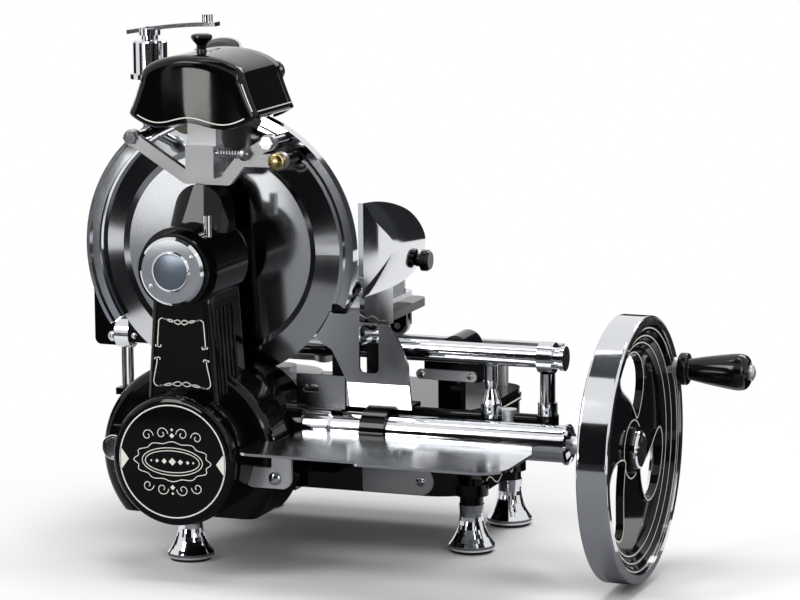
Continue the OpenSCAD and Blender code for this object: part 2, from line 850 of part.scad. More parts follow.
// thickness of that flange
barrel_flange_t = 6; // [3:0.5:12]
// end of the clamp arm, X and Y
clamp_end = [-66, 153]; // [-120:1:200]
// bottom, top of the clamp arm
clamp_arm_z = [188, 199]; // [150:1:240]
// half width of the clamp arm
clamp_arm_w = 9; // [5:0.5:15]
// radius of the boss at the arm's end
clamp_boss_r = 15; // [10:0.5:25]
// radius of the pressing screw
press_r = 7; // [4:0.5:10]
// centre height of the hand wheel
hand_z = 214; // [200:1:230]
// radius of the hand wheel
hand_r = 30; // [20:0.5:45]
// thickness of the hand wheel
hand_t = 10; // [5:0.5:16]
// radius of the hand wheel's lower, upper face, shares of its radius
hand_face_share = [0.55, 0.5]; // [0.3:0.05:0.8]
// radius of the hand wheel's stem
hand_stem_r = 5; // [3:0.5:6]
// radius of the hand wheel's bright rim
hand_rim_r = 2.5; // [1:0.5:5]
// radius of the leaning neck that carries the hand wheel
hand_neck_r = 8; // [7:0.5:12]
// thickness of the arm that closes the pressing screw's bore
screw_cap_t = 2; // [1:0.5:5]
// lean of the hand wheel towards the front
hand_lean = 26; // [0:1:45]
// half size of the pressing plate
press_half = [38, 30]; // [15:1:60]
// top of the pressing plate
press_top = 160; // [120:1:180]
// thickness of the pressing plate
press_t = 5; // [3:0.5:10]
// length of a spike under the pressing plate
spike_l = 9; // [3:0.5:20]
// radius of a spike
spike_r = 2.5; // [1:0.5:5]
// left, right end of the curved clamp lever
lever_x = [-180, -64]; // [-250:1:0]
// height of the lever's left end and its right end
lever_z = [238, 250]; // [220:1:280]
// half width of the clamp lever
lever_half_w = 8; // [4:0.5:14]
// thickness of the clamp lever
lever_t = 5; // [2:0.5:8]
// radius of the lever's hub
lever_hub_r = 13; // [8:0.5:20]
// radius of the knurled screw
knurl_r = 6.5; // [4:0.5:10]
// height of the knurled screw
knurl_h = 9; // [4:0.5:14]

/* [Fasteners] */
// radius of a small screw head
screw_head_r = 4; // [2:0.5:8]
// height of a small screw head
screw_head_h = 3; // [1:0.5:6]
// radius of a domed screw
dome_r = 8; // [4:0.5:14]
// height of a domed screw
dome_h = 5; // [2:0.5:10]
// radius of the screw in the data plate
plate_screw_r = 6; // [3:0.5:8]
// height of that screw
plate_screw_h = 4; // [1:0.5:6]
// radius of the screw in the end box
end_screw_r = 7; // [3:0.5:10]
// height of that screw above the box's foot
end_screw_rise = 11; // [8:0.5:20]
// radius of the screws in the hub cap
hub_screw_r = 2.5; // [1:0.5:4]
// height of those screws
hub_screw_h = 1.5; // [0.5:0.5:3]
// angles of those screws
hub_screw_a = [35, 215]; // [0:5:360]
// radius of the ring bolts' nuts
ring_nut_r = 6; // [5:0.5:8]

/* [Hidden] */
fine = 64;
side_share = 0.985;
mid_fn = 40;
small_fn = 20;
bead_fn = 8;
hexagon = 6;
quarter_steps = 6;
quarter_turn = 90 / quarter_steps;
link_fn = 12;
coil_steps = 8;
wire_sides = 6;
flare_steps = 10;
arc_steps = 12;
outline_steps = 36;
floor_z = -blade_axis_h;
ring_r = [blade_r + ring_clear, blade_r + ring_clear + ring_w];
handle_end = fly_x[1] + handle_reach;
mid_x = (handle_end + end_box_x[0]) / 2;
mid_y = (screw_y[1] + tray_front - tray_step) / 2;
foot_base_z = floor_z + sole_t;
foot_top_z = foot_base_z + foot_rim_t + foot_flare_h;
blade_slot_y = [blade_back - blade_t - blade_slot_side, blade_back + blade_slot_side];
web_front = fly_x[1] - 3 * dish_drop - dish_drop;
web_back = web_front - web_t;
handle_y = drive_y + handle_arm * cos(handle_a);
handle_z = drive_z + handle_arm * sin(handle_a);
grip_left = fly_x[1] + bolt_head_t + 2 * gap;
grip_l = handle_end - handle_cap_t - gap - grip_left;
sprocket_r = [for (n = sprocket_teeth) chain_pitch / 2 / sin(180 / n)];
chain_rise = -drive_z;
chain_lean = asin((sprocket_r[0] - sprocket_r[1]) / chain_rise);
crown_a_x = pinion_r;
crown_b_z = drive_z + pinion_r;
crank_arm_z = crown_b_z + tooth_down + crown_t + gap;
rod_z = crank_arm_z + crank_t + crank_pin_h + rod_lift;
rod_pin_x = rod_l - crank_throw;
deck_top = deck_z[1];
table_z = deck_top + way_h + slide_gap;
wheel_z = track_z[1] + gap + wheel_r;
table_top = table_z + table_t;
left_head_x = (left_rod_x[0] + left_rod_x[1]) / 2;
press_z = press_top - press_t;
hub_cap_front = hub_boss_front - hub_cap_t;

// place everything above the floor
module at_floor() {
    translate([-mid_x, -mid_y, blade_axis_h]) children();
}

// round bar along X, Y or Z between two ends
module bar_x(x, y, z, r, fn = fine) {
    translate([x[0], y, z]) rotate([0, 90, 0]) cylinder(h = x[1] - x[0], r = r, $fn = fn);
}
module bar_y(y, x, z, r, fn = fine) {
    translate([x, y[1], z]) rotate([90, 0, 0]) cylinder(h = y[1] - y[0], r = r, $fn = fn);
}
module bar_z(z, x, y, r, fn = fine) {
    translate([x, y, z[0]]) cylinder(h = z[1] - z[0], r = r, $fn = fn);
}

// round bar between any two points
module bar(p, q, r, fn = small_fn) {
    d = q - p;
    translate(p) rotate([0, acos(d[2] / norm(d)), atan2(d[1], d[0])]) cylinder(h = norm(d), r = r, $fn = fn);
}

// box between ends on each axis
module block(x, y, z) {
    translate([x[0], y[0], z[0]]) cube([x[1] - x[0], y[1] - y[0], z[1] - z[0]]);
}

// flat shape drawn in X and Z, thick along Y
module slab_y(y) {
    translate([0, y[1], 0]) rotate([90, 0, 0]) linear_extrude(y[1] - y[0]) children();
}
// flat shape drawn in Y and Z, thick along X
module slab_x(x) {
    translate([x[0], 0, 0]) rotate([90, 0, 90]) linear_extrude(x[1] - x[0]) children();
}
// flat shape drawn in X and Y, thick along Z
module slab_z(z) {
    translate([0, 0, z[0]]) linear_extrude(z[1] - z[0]) children();
}

// piece to cut off a corner; u points from the corner into the shape
module corner_cut(c, u, r) {
    difference() {
        translate([c[0] + min(u[0], 0) * r - max(u[0], 0) * over, c[1] + min(u[1], 0) * r - max(u[1],
            0) * over])
            square(r + over);
        translate([c[0] + u[0] * r, c[1] + u[1] * r]) circle(r, $fn = fine);
    }
}

// rectangle with its own radius on each corner: front left, front right, back right, back left
module round_rect(x, y, r) {
    difference() {
        translate([x[0], y[0]]) square([x[1] - x[0], y[1] - y[0]]);
        if (r[0] > 0) corner_cut([x[0], y[0]], [1, 1], r[0]);
        if (r[1] > 0) corner_cut([x[1], y[0]], [-1, 1], r[1]);
        if (r[2] > 0) corner_cut([x[1], y[1]], [-1, -1], r[2]);
        if (r[3] > 0) corner_cut([x[0], y[1]], [1, -1], r[3]);
    }
}
module even_rect(x, y, r) {
    round_rect(x, y, [r, r, r, r]);
}

// flat bar with round ends between two points, each end with its own radius
module capsule(p, q, r) {
    d = q - p;
    translate(p) circle(r, $fn = mid_fn);
    translate(q) circle(r, $fn = mid_fn);
    w = r * side_share;
    translate(p) rotate(atan2(d[1], d[0])) translate([0, -w]) square([norm(d), 2 * w]);
}

// profile of radius and height pairs, turned about an axis
module turned_z(pts, fn = fine) {
    rotate_extrude($fn = fn) polygon(pts);
}
module turned_x(pts, fn = fine) {
    rotate([0, 90, 0]) rotate_extrude($fn = fn) polygon(pts);
}
// here the height runs towards the front, along -Y
module turned_front(pts, fn = fine) {
    rotate([90, 0, 0]) rotate_extrude($fn = fn) polygon(pts);
}

// quarter round of a profile: centre, radius, first angle
function quarter(c, r, a) = [for (i = [0:quarter_steps])
    [c[0] + r * cos(a + quarter_turn * i), c[1] + r * sin(a + quarter_turn * i)]];

// domed screw head that faces the front
module dome_front(r, h) {
    turned_front(concat([[0, 0], [r, 0]], [for (i = [1:quarter_steps - 1])
        [r * cos(quarter_turn * i), h * sin(quarter_turn * i)]], [[0, h]]), mid_fn);
}

// feet and base casting
module feet() {
    color([0.82, 0.82, 0.84]) at_floor() for (s = foot_spots) translate([s[0], s[1], foot_base_z]) {
        turned_z(concat([[0, 0], [foot_r, 0], [foot_r, foot_rim_t]],
            [for (i = [1:flare_steps]) let (t = i / flare_steps, f = pow(1 - t, flare_power))
                [foot_neck_r + (foot_r - foot_neck_r) * f + (foot_top_r - foot_neck_r) * t * t,
                    foot_rim_t + foot_flare_h * t]],
            [[0, foot_rim_t + foot_flare_h]]));
    }
}

module foot_soles() {
    color([0.08, 0.08, 0.08]) at_floor() for (s = foot_spots)
        bar_z([floor_z, foot_base_z], s[0], s[1], sole_r);
}

module base_plan(inset) {
    round_rect([base_x[0] + inset, base_x[1] - inset], [base_y[0] + inset, base_y[1] - inset],
        [base_back_r - inset, base_front_r - inset, base_back_r - inset, base_back_r - inset]);
}

module base_casting() {
    color([0.03, 0.03, 0.035]) at_floor() {
        difference() {
            union() {
                difference() {
                    union() {
                        slab_z(base_z) base_plan(0);
                        slab_z([base_z[1] - bead_h - wall, base_z[1] - wall]) base_plan(-bead_out);
                        block([-bridge_half_w, bridge_half_w], [rear_drum_back, base_y[0] + wall],
                            [base_z[0], base_z[1] - wall / 2]);
                        bar_y([rear_drum_back, bearing_wall_y[1][1]], 0, drive_z, cross_r + hump_t);
                    }
                    slab_z([base_z[0] - over, base_z[1] - wall]) base_plan(wall);
                    block([wall - bridge_half_w, bridge_half_w - wall], [rear_drum_back - over,
                        base_y[0] + 2 * wall],
                        [base_z[0] - over, base_z[1] - wall - wall / 2]);
                    bar_y([rear_drum_back - over, bearing_wall_y[1][1] + over], 0, drive_z,
                        cross_r + slide_gap);
                }
                for (y = bearing_wall_y)
                    block([-bearing_half_w, bearing_half_w], y, [base_z[0], base_z[1] - wall / 2]);
                bar_z([base_z[1] - crank_boss_h, base_z[1]], 0, crank_y, crank_boss_r);
            }
            bar_y([bearing_wall_y[0][0] - over, cross_y[1] + over], 0, drive_z, cross_r + fit);
            bar_z([base_z[1] - crank_boss_h - over, base_z[1] + over], 0, crank_y, crank_shaft_r + fit);
            block([-window_half_w, window_half_w], window_y, [base_z[1] - 2 * wall, base_z[1] + hump_t + over]);
        }
        for (s = foot_spots) if (s[1] > base_y[0]) {
            bar_z([foot_top_z, base_z[0]], s[0], s[1], stub_r);
            bar_z([base_z[0], base_z[0] + foot_lug_h], s[0], s[1], foot_lug_r);
        }
    }
}

module data_plate() {
    color([0.75, 0.75, 0.76]) at_floor() slab_y([base_y[0] - data_t, base_y[0]]) round_rect(data_x, data_z,
        [wall / 2, (data_z[1] - data_z[0]) / 2, (data_z[1] - data_z[0]) / 2, wall / 2]);
}

// drive housing
module drum_outer() {
    rd = drum_r - drum_round;
    translate([drum_c[0], drum_y[1], drum_c[1]])
        turned_front(concat([[0, 0], [drum_r, 0]],
            quarter([rd, drum_y[1] - drum_y[0] - drum_round], drum_round, 0),
            [[0, drum_y[1] - drum_y[0]]]), 2 * fine);
    bar_y([drum_y[1], mid_drum_back], mid_drum_c[0], mid_drum_c[1], mid_drum_r, 2 * fine);
    bar_y([mid_drum_back, rear_drum_back], 0, cover_z, rear_drum_r, 2 * fine);
    bar_y([neck_front, drum_y[0] + over], 0, cover_z, neck_r, 2 * fine);
}

module drum_inner() {
    intersection() {
        union() {
            bar_y([drum_y[0] + wall, drum_y[1] + wall], drum_c[0], drum_c[1], drum_r - wall, 2 * fine);
            bar_y([drum_y[1], mid_drum_back - wall], mid_drum_c[0], mid_drum_c[1], mid_drum_r - wall, 2 * fine);
            bar_y([mid_drum_back - 2 * wall, rear_drum_back - wall], 0, cover_z, rear_drum_r - wall, 2 * fine);
            bar_y([neck_front - over, drum_y[0] + 2 * wall], 0, cover_z, neck_r - wall, 2 * fine);
        }
        block([-2 * drum_r, 2 * drum_r], [2 * neck_front, 2 * rear_drum_back], [base_z[0] + wall, 0]);
    }
}

module drive_housing() {
    color([0.03, 0.03, 0.035]) at_floor() {
        difference() {
            union() {
                difference() {
                    union() {
                        intersection() {
                            drum_outer();
                            block([-2 * drum_r, 2 * drum_r], [2 * neck_front, 2 * rear_drum_back],
                                [base_z[0], 0]);
                        }
                        bar_x([rear_drum_r - wall, tube_left], drive_y, drive_z, tube_boss_r);
                    }
                    drum_inner();
                }
                intersection() {
                    block([-drum_wall_half_w, drum_wall_half_w], drum_wall_y, [base_z[0] + wall / 2, -drum_r]);
                    bar_y([2 * drum_y[0], 0], drum_c[0], drum_c[1], drum_r - wall / 2);
                }
                intersection() {
                    drum_outer();
                    bar_y([blade_slot_y[0] - blade_slot_wall, blade_slot_y[1] + blade_slot_wall], 0, 0,
                        blade_r + gauge_clear + blade_slot_wall, 2 * fine);
                }
                for (z = panel_line_z) intersection() {
                    bar_x([drum_c[0] - drum_r, -neck_r], drum_y[0], z, panel_line_r, small_fn);
                    bar_y([2 * drum_y[0], 0], drum_c[0], drum_c[1], drum_r - drum_round);
                }
            }
            bar_y(blade_slot_y, 0, 0, blade_r + gauge_clear, 2 * fine);
            bar_y([drum_wall_y[0] - over, drum_wall_y[1] + over], 0, drive_z, cross_r + fit);
            bar_y([rear_drum_back - wall - over, rear_drum_back + over], 0, drive_z, cross_r + fit);
            bar_x([rear_drum_r - 2 * wall, tube_left + over], drive_y, drive_z, drive_r + fit);
            block([-channel_half_w[0], channel_half_w[0]], channel_y, [drive_z, pillar_half_w[0] - drum_r]);
        }
        bar_z([foot_top_z, base_z[0]], foot_spots[0][0], foot_spots[0][1], stub_r);
    }
}

module drive_cover() {
    color([0.03, 0.03, 0.035]) at_floor() translate([0, neck_front, cover_z])
        turned_front(concat([[0, 0], [cover_r, 0]],
            quarter([cover_r - cover_round, cover_t - cover_round], cover_round, 0), [[0, cover_t]]), 2 * fine);
}

// pillar
module pillar_slice(z, half_w, front) {
    slab_z([z, z + slice_t]) even_rect([-half_w, half_w], [front, pillar_back], pillar_corner);
}

module pillar_body() {
    hull() {
        pillar_slice(pillar_z[0], pillar_half_w[0], pillar_front);
        pillar_slice(pillar_z[1], pillar_half_w[1], pillar_front);
    }
    hull() {
        pillar_slice(pillar_z[1], pillar_half_w[1], pillar_front);
        pillar_slice(pillar_z[2], pillar_half_w[2], pillar_top_front - slice_t);
        bar_y([pillar_top_front, pillar_back], 0, pillar_arch_z, pillar_arch_r);
    }
}

module pillar() {
    color([0.03, 0.03, 0.035]) at_floor() difference() {
        union() {
            pillar_body();
            pillar_flutes();
            bar_y([hub_step_front, drum_y[1]], 0, hub_z, hub_step_r);
            bar_y([hub_boss_front, hub_step_front], 0, hub_z, hub_boss_r);
        }
        hull() {
            block([-channel_half_w[0], channel_half_w[0]], channel_y, [pillar_z[0] - over, pillar_z[0]]);
            block([-channel_half_w[1], channel_half_w[1]], channel_y, [-channel_half_w[1] / 2, 0]);
            bar_y(channel_y, 0, 0, channel_half_w[1]);
        }
        block([-void_half_w, void_half_w], void_y, [pillar_z[0] - over, void_top]);
        bar_y([hub_boss_front - over, channel_y[0] + over], 0, 0, blade_shaft_r + boss_clear);
        bar_y([channel_y[1] - over, pillar_back + over], 0, 0, blade_shaft_r + fit);
        bar_y([2 * drum_y[0], drum_y[0]], 0, cover_z, neck_r + gap, 2 * fine);
        bar_y([drum_y[0] - gap, 0], drum_c[0], drum_c[1], drum_r + gap, 2 * fine);
        bar_z([oiler_at[2], oiler_at[2] + 2 * hub_step_r], oiler_at[0], oiler_at[1], oiler_r + gap, small_fn);
    }
}

module pillar_flutes() {
    low = pillar_half_w[1] + (pillar_half_w[0] - pillar_half_w[1])
        * (pillar_z[1] - flute_foot_z) / (pillar_z[1] - pillar_z[0]);
    for (s = [-1, 1]) for (y = flute_y) bar([s * low, y, flute_foot_z], [s * pillar_half_w[1], y, flute_top_z],
        flute_r, link_fn);
}

module hub_cover() {
    color([0.82, 0.82, 0.84]) at_floor() translate([0, hub_boss_front, hub_z])
        turned_front([[0, 0], [hub_cap_r, 0], [hub_cap_r, hub_cap_t / 2], [hub_cap_r - hub_cap_t / 2,
            hub_cap_t],
            [hub_disc_r + hub_disc_t, hub_cap_t], [hub_disc_r, hub_cap_t + hub_disc_t], [0,
                hub_cap_t + hub_disc_t]]);
}

// blade
module blade() {
    web_back_y = (blade_t - blade_web_t) / 2;
    color([0.85, 0.86, 0.88]) at_floor() translate([0, blade_back, 0]) difference() {
        turned_front([[0, web_back_y], [bevel_r - blade_t, web_back_y], [bevel_r - blade_t / 2, 0],
            [bevel_r, 0], [blade_r, 0], [blade_r, edge_t], [bevel_r, blade_t], [bevel_r - blade_t,
                web_back_y + blade_web_t],
            [0, web_back_y + blade_web_t]], 2 * fine);
        bar_y([-2 * blade_t, over], 0, 0, blade_shaft_r);
    }
}

module blade_shaft() {
    web_back_y = blade_back - (blade_t - blade_web_t) / 2;
    web_front_y = web_back_y - blade_web_t;
    color([0.6, 0.6, 0.62]) at_floor() {
        bar_y([blade_shaft_front, web_front_y], 0, 0, blade_shaft_r);
        bar_y([blade_hub_front, web_front_y], 0, 0, blade_hub_r);
        bar_y([web_back_y, blade_back + edge_t], 0, 0, blade_hub_r);
        bar_y([web_front_y, web_back_y], 0, 0, blade_shaft_r);
        for (i = [0:blade_screws - 1]) rotate([0, 360 / blade_screws * i, 0])
            bar_y([blade_back, blade_back + edge_t + screw_head_h], blade_screw_circle, 0, blade_screw_r,
                small_fn);
        sprocket_wheel(0, sprocket_r[1], sprocket_teeth[1], blade_shaft_r + sprocket_hub_w[1]);
    }
}

// gears, sprockets and chain
module sprocket_wheel(z, r, teeth, hub_r) {
    tip = r - roller_r - gap;
    slab_y([sprocket_y - sprocket_t / 2, sprocket_y + sprocket_t / 2]) translate([0, z]) {
        circle(tip - roller_r, $fn = fine);
        for (i = [0:teeth - 1]) rotate(360 / teeth * i) polygon([[0, -roller_r], [tip - roller_r, -roller_r],
            [tip, -roller_r / 3], [tip, roller_r / 3], [tip - roller_r, roller_r], [0, roller_r]]);
    }
    bar_y([sprocket_y - sprocket_t, sprocket_y + sprocket_t], 0, z, hub_r, mid_fn);
}

module pinion(y) {
    root = pinion_r - tooth_down;
    tip = pinion_r + tooth_up;
    slab_y([y - tooth_face / 2, y + tooth_face / 2]) translate([0, drive_z]) {
        circle(root, $fn = fine);
        for (i = [0:pinion_teeth - 1]) rotate(360 / pinion_teeth * i) polygon([[0, -tooth_root_w],
            [root, -tooth_root_w], [tip, -tooth_tip_w], [tip, tooth_tip_w], [root, tooth_root_w], [0,
                tooth_root_w]]);
    }
    bar_y([y - pinion_hub_w / 2, y + pinion_hub_w / 2], 0, drive_z, root - tooth_up, mid_fn);
}

// crown wheel whose teeth point down from z = 0 pitch plane; a gap faces -Y
module crown(bore_r) {
    difference() {
        translate([0, 0, tooth_down]) cylinder(h = crown_t, r = crown_r + tooth_face / 2, $fn = fine);
        translate([0, 0, tooth_down - over]) cylinder(h = crown_t + 2 * over, r = bore_r, $fn = fine);
    }
    for (i = [0:crown_teeth - 1]) rotate(-90 + 360 / crown_teeth * (i + 0.5))
        translate([crown_r - tooth_face / 2, 0, 0]) rotate([90, 0, 90]) linear_extrude(tooth_face)
            polygon([[-tooth_tip_w, -tooth_up], [tooth_tip_w, -tooth_up], [tooth_root_w, tooth_down],
                [-tooth_root_w, tooth_down]]);
}

module cross_shaft() {
    color([0.5, 0.5, 0.52]) at_floor() {
        bar_y(cross_y, 0, drive_z, cross_r);
        pinion(pinion_front_y);
        pinion(pinion_rear_y);
        sprocket_wheel(drive_z, sprocket_r[0], sprocket_teeth[0], cross_r + sprocket_hub_w[0]);
    }
}

// point on the chain's centre line at a distance s along it
chain_straight = chain_rise * cos(chain_lean);
chain_top_arc = PI * sprocket_r[1] * (180 - 2 * chain_lean) / 180;
chain_low_arc = PI * sprocket_r[0] * (180 + 2 * chain_lean) / 180;
chain_len = 2 * chain_straight + chain_top_arc + chain_low_arc;
function on_arc(c, r, a) = [r * cos(a), c + r * sin(a)];
function chain_at(s) =
    s < chain_top_arc ? on_arc(0, sprocket_r[1], chain_lean + s / sprocket_r[1] * 180 / PI) :
    s < chain_top_arc + chain_straight ? let (t = (s - chain_top_arc) / chain_straight)
        on_arc(0, sprocket_r[1], 180 - chain_lean) * (1 - t) + on_arc(drive_z, sprocket_r[0],
            180 - chain_lean) * t :
    s < chain_top_arc + chain_straight + chain_low_arc ?
        on_arc(drive_z, sprocket_r[0], 180 - chain_lean + (s - chain_top_arc - chain_straight) / sprocket_r[0] * 180 / PI) :
    let (t = (s - chain_top_arc - chain_straight - chain_low_arc) / chain_straight)
        on_arc(drive_z, sprocket_r[0], chain_lean) * (1 - t) + on_arc(0, sprocket_r[1], chain_lean) * t;

module chain() {
    pts = [for (i = [0:chain_links - 1]) chain_at(chain_len * i / chain_links)];
    color([0.35, 0.35, 0.36]) at_floor() {
        for (side = [-1, 1]) slab_y([sprocket_y + side * (chain_inner + link_plate_t / 2) - link_plate_t / 2,
            sprocket_y + side * (chain_inner + link_plate_t / 2) + link_plate_t / 2]) {
            for (i = [0:chain_links - 1]) let (p = pts[i], q = pts[(i + 1) % chain_links], d = q - p) {
                translate(p) circle(link_eye_r, $fn = link_fn);
                translate(p) rotate(atan2(d[1], d[0])) translate([0, -link_waist]) square([norm(d),
                    2 * link_waist]);
            }
        }
        for (p = pts) bar_y([sprocket_y - chain_inner - link_plate_t / 2,
            sprocket_y + chain_inner + link_plate_t / 2],
            p[0], p[1], roller_r, link_fn);
    }
}

// guard ring and wishbone
module guard_ring() {
    w = ring_y[1] - ring_y[0];
    color([0.82, 0.82, 0.84]) at_floor() difference() {
        for (a = ring_a) translate([0, ring_y[1], 0]) rotate([90, 0, 0]) rotate(a[0])
            rotate_extrude(angle = a[1] - a[0], $fn = 2 * fine)
                polygon([[ring_r[0], 0], [ring_r[1], 0], [ring_r[1], w], [ring_r[1] - ring_edge, w],
                    [ring_r[1] - ring_edge, w - ring_groove], [ring_r[0] + ring_edge, w - ring_groove],
                    [ring_r[0] + ring_edge, w], [ring_r[0], w]]);
        for (s = [-1, 1]) bar_y([ring_y[0] - over, ring_y[1] + over], s * wish_end[0], wish_end[1],
            ring_bolt_r + gap, small_fn);
    }
}

module wishbone() {
    color([0.7, 0.7, 0.72]) at_floor() difference() {
        union() {
            slab_y(wish_y) {
                capsule([wish_saddle_x[0], wish_saddle_z], [wish_saddle_x[1], wish_saddle_z], wish_half_w);
                capsule([wish_saddle_x[0], wish_saddle_z], [-wish_elbow[0], wish_elbow[1]], wish_half_w);
                capsule([wish_saddle_x[1], wish_saddle_z], wish_elbow, wish_half_w);
                capsule([-wish_elbow[0], wish_elbow[1]], [-wish_end[0], wish_end[1]], wish_half_w);
                capsule(wish_elbow, wish_end, wish_half_w);
                capsule(wish_elbow, brass_at, wish_half_w);
                translate([-wish_end[0], wish_end[1]]) circle(wish_eye_r, $fn = mid_fn);
                translate(wish_end) circle(wish_eye_r, $fn = mid_fn);
                translate(brass_at) circle(brass_r, $fn = mid_fn);
            }
            block(stem_x, stem_y, stem_z);
            bar_x([stem_x[1] - over, spring_x[1] + wall], spring_y, spring_z, spring_rod_r, small_fn);
            bar_x([spring_x[1] + gap, spring_x[1] + gap + wall / 2], spring_y, spring_z,
                spring_r + 2 * wire_r + over,
                mid_fn);
        }
        bar_y([2 * pillar_top_front, 0], 0, pillar_arch_z, pillar_arch_r + gap);
        for (s = [-1, 1]) bar_y([wish_y[0] - over, wish_y[1] + over], s * wish_end[0], wish_end[1],
            ring_bolt_r + gap, small_fn);
        bar_y([wish_y[0] - over, wish_y[1] + over], brass_at[0], brass_at[1], brass_stem_r + fit, mid_fn);
    }
}

module ring_bolts() {
    for (s = [-1, 1]) {
        x = s * wish_end[0];
        bar_y([wish_y[0] - bolt_head_t, ring_y[1] + screw_head_h], x, wish_end[1], ring_bolt_r, small_fn);
        bar_y([wish_y[0] - bolt_head_t, wish_y[0]], x, wish_end[1], bolt_head_r, hexagon);
        bar_y([wish_y[1], ring_y[0]], x, wish_end[1], spacer_r, mid_fn);
        bar_y([ring_y[1], ring_y[1] + screw_head_h], x, wish_end[1], ring_nut_r, hexagon);
    }
}

module brass_knob() {
    color([0.78, 0.6, 0.25]) at_floor()
        bar_y([wish_y[0] - gap - brass_t, wish_y[0] - gap], brass_at[0], brass_at[1], brass_r, mid_fn);
}

module brass_knob_body() {
    color([0.05, 0.05, 0.05]) at_floor() {
        bar_y([wish_y[0] - gap, wish_y[1] + gap], brass_at[0], brass_at[1], brass_stem_r, mid_fn);
        bar_y([wish_y[1] + gap, brass_back], brass_at[0], brass_at[1], brass_body_r, mid_fn);
    }
}

// coil: rings of six points carried along a helix
coil_rings = coil_steps * spring_turns;
coil_pitch = (spring_x[1] - spring_x[0] - 2 * wire_r) / spring_turns;
coil = [for (i = [0:coil_rings]) let (a = 360 * i / coil_steps) for (k = [0:wire_sides - 1])
    let (b = 360 * k / wire_sides, r = spring_r + wire_r * cos(b))
    [spring_x[0] + wire_r + coil_pitch * i / coil_steps + wire_r * sin(b), spring_y + r * cos(a),
        spring_z + r * sin(a)]];
coil_sides = [for (i = [0:coil_rings - 1]) for (k = [0:wire_sides - 1]) let (n = wire_sides, m = (k + 1) % n)
    [n * i + k, n * i + m, n * (i + 1) + m, n * (i + 1) + k]];
echo(coil_self_gap = coil_pitch - 2 * wire_r);

module tension_spring() {
    color([0.75, 0.75, 0.77]) at_floor() polyhedron(coil, concat([[for (k = [wire_sides - 1:-1:0]) k]],
        coil_sides,
        [[for (k = [0:wire_sides - 1]) wire_sides * coil_rings + k]]));
}

// sharpener
function hood_arc(w, s, c) = [for (i = [0:arc_steps]) let (a = 180 * i / arc_steps) [w * cos(a),
    s + (c - s) * sin(a)]];
module hood_outline(inset) {
    polygon(concat([[hood_half_w[0] - inset, hood_z[1] - 2 * hood_round], [hood_half_w[0] - inset, hood_z[0]]],
        hood_arc(hood_half_w[1] - inset, hood_z[3] - inset, hood_z[4] - inset),
        [[inset - hood_half_w[0], hood_z[0]], [inset - hood_half_w[0], hood_z[1] - 2 * hood_round]]));
}
// lower edge: corners high, dips, then the middle
function hood_low(x) = let (u = abs(x)) u > hood_dip_x
    ? hood_z[1] + (hood_z[0] - hood_z[1]) * (1 - cos(90 * min(1,
        (u - hood_dip_x) / (hood_half_w[0] - hood_dip_x))))
    : hood_z[1] + (hood_z[2] - hood_z[1]) * (1 + cos(180 * u / hood_dip_x)) / 2;

module hood() {
    front = hood_y[0];
    back = hood_y[1];
    rise = hood_round / 3;
    color([0.03, 0.03, 0.035]) at_floor() {
        difference() {
            hull() {
                slab_y([front + hood_round, back - hood_round]) hood_outline(0);
                slab_y([front + rise, back - rise]) hood_outline(rise);
                slab_y([front, back]) hood_outline(hood_round);
            }
            hull() {
                slab_y([front + hood_round + hood_t, back - hood_round - hood_t]) hood_outline(hood_t);
                slab_y([front + hood_t, back - hood_t]) hood_outline(hood_round + hood_t);
            }
            slab_y([front - over, back + over]) polygon(concat(
                [for (i = [-outline_steps / 2:outline_steps / 2]) let (x = 2 * i / outline_steps * hood_half_w[0])
                    [x * (1 + over / hood_half_w[0]), hood_low(x)]],
                [[2 * hood_half_w[0], hood_z[0]], [2 * hood_half_w[0], 0], [-2 * hood_half_w[0], 0],
                    [-2 * hood_half_w[0], hood_z[0]]]));
            slab_y([back - 2 * hood_round - hood_t, back + over]) {
                translate([push_at[0] - push_slot_half_w, 0]) square([2 * push_slot_half_w, push_at[1]]);
                translate(push_at) circle(push_slot_half_w, $fn = mid_fn);
            }
        }
        hood_knob();
    }
}

module hood_knob() {
    w = hood_knob_r;
    h = hood_knob_h;
    translate([hood_knob_at[0], hood_knob_at[1], hood_z[4] - 3 * hood_t / 4])
        turned_z([for (i = [0:len(knob_r_share) - 1]) [w * knob_r_share[i], h * knob_h_share[i]]]);
}

module sharpener_yoke() {
    color([0.35, 0.35, 0.37]) at_floor() difference() {
        union() {
            block(stem_x, yoke_y, [stem_z[1], yoke_z[1]]);
            block(yoke_x, yoke_y, yoke_z);
            block([-wall, wall], yoke_y, [yoke_z[0], hood_z[4] - hood_t - wall / 2]);
            slab_y(yoke_y) capsule([stone_front_at[0], yoke_z[0]], stone_front_at, yoke_half_w);
            slab_y(yoke_y) capsule([push_at[0], yoke_z[1]], push_at, yoke_half_w);
        }
        bar_y([yoke_y[0] - over, yoke_y[1] + over], stone_front_at[0], stone_front_at[1], spindle_r + fit,
            mid_fn);
        bar_y([yoke_y[0] - over, yoke_y[1] + over], push_at[0], push_at[1], spindle_r + fit, mid_fn);
    }
}

module front_spindle() {
    head = yoke_y[0] - stone_travel - gap - screw_head_h;
    color([0.7, 0.7, 0.72]) at_floor() {
        bar_y([head, blade_back - blade_t - stone_park - gap], stone_front_at[0], stone_front_at[1],
            spindle_r, mid_fn);
        bar_y([head, head + screw_head_h], stone_front_at[0], stone_front_at[1], bolt_head_r, mid_fn);
    }
}

module stone_front() {
    y = blade_back - blade_t - stone_park;
    color([0.45, 0.42, 0.38]) at_floor() difference() {
        bar_y([y - stone_t, y], stone_front_at[0], stone_front_at[1], stone_r);
        bar_y([y - stone_t - over, y + over], stone_front_at[0], stone_front_at[1], spindle_r + fit, mid_fn);
    }
}

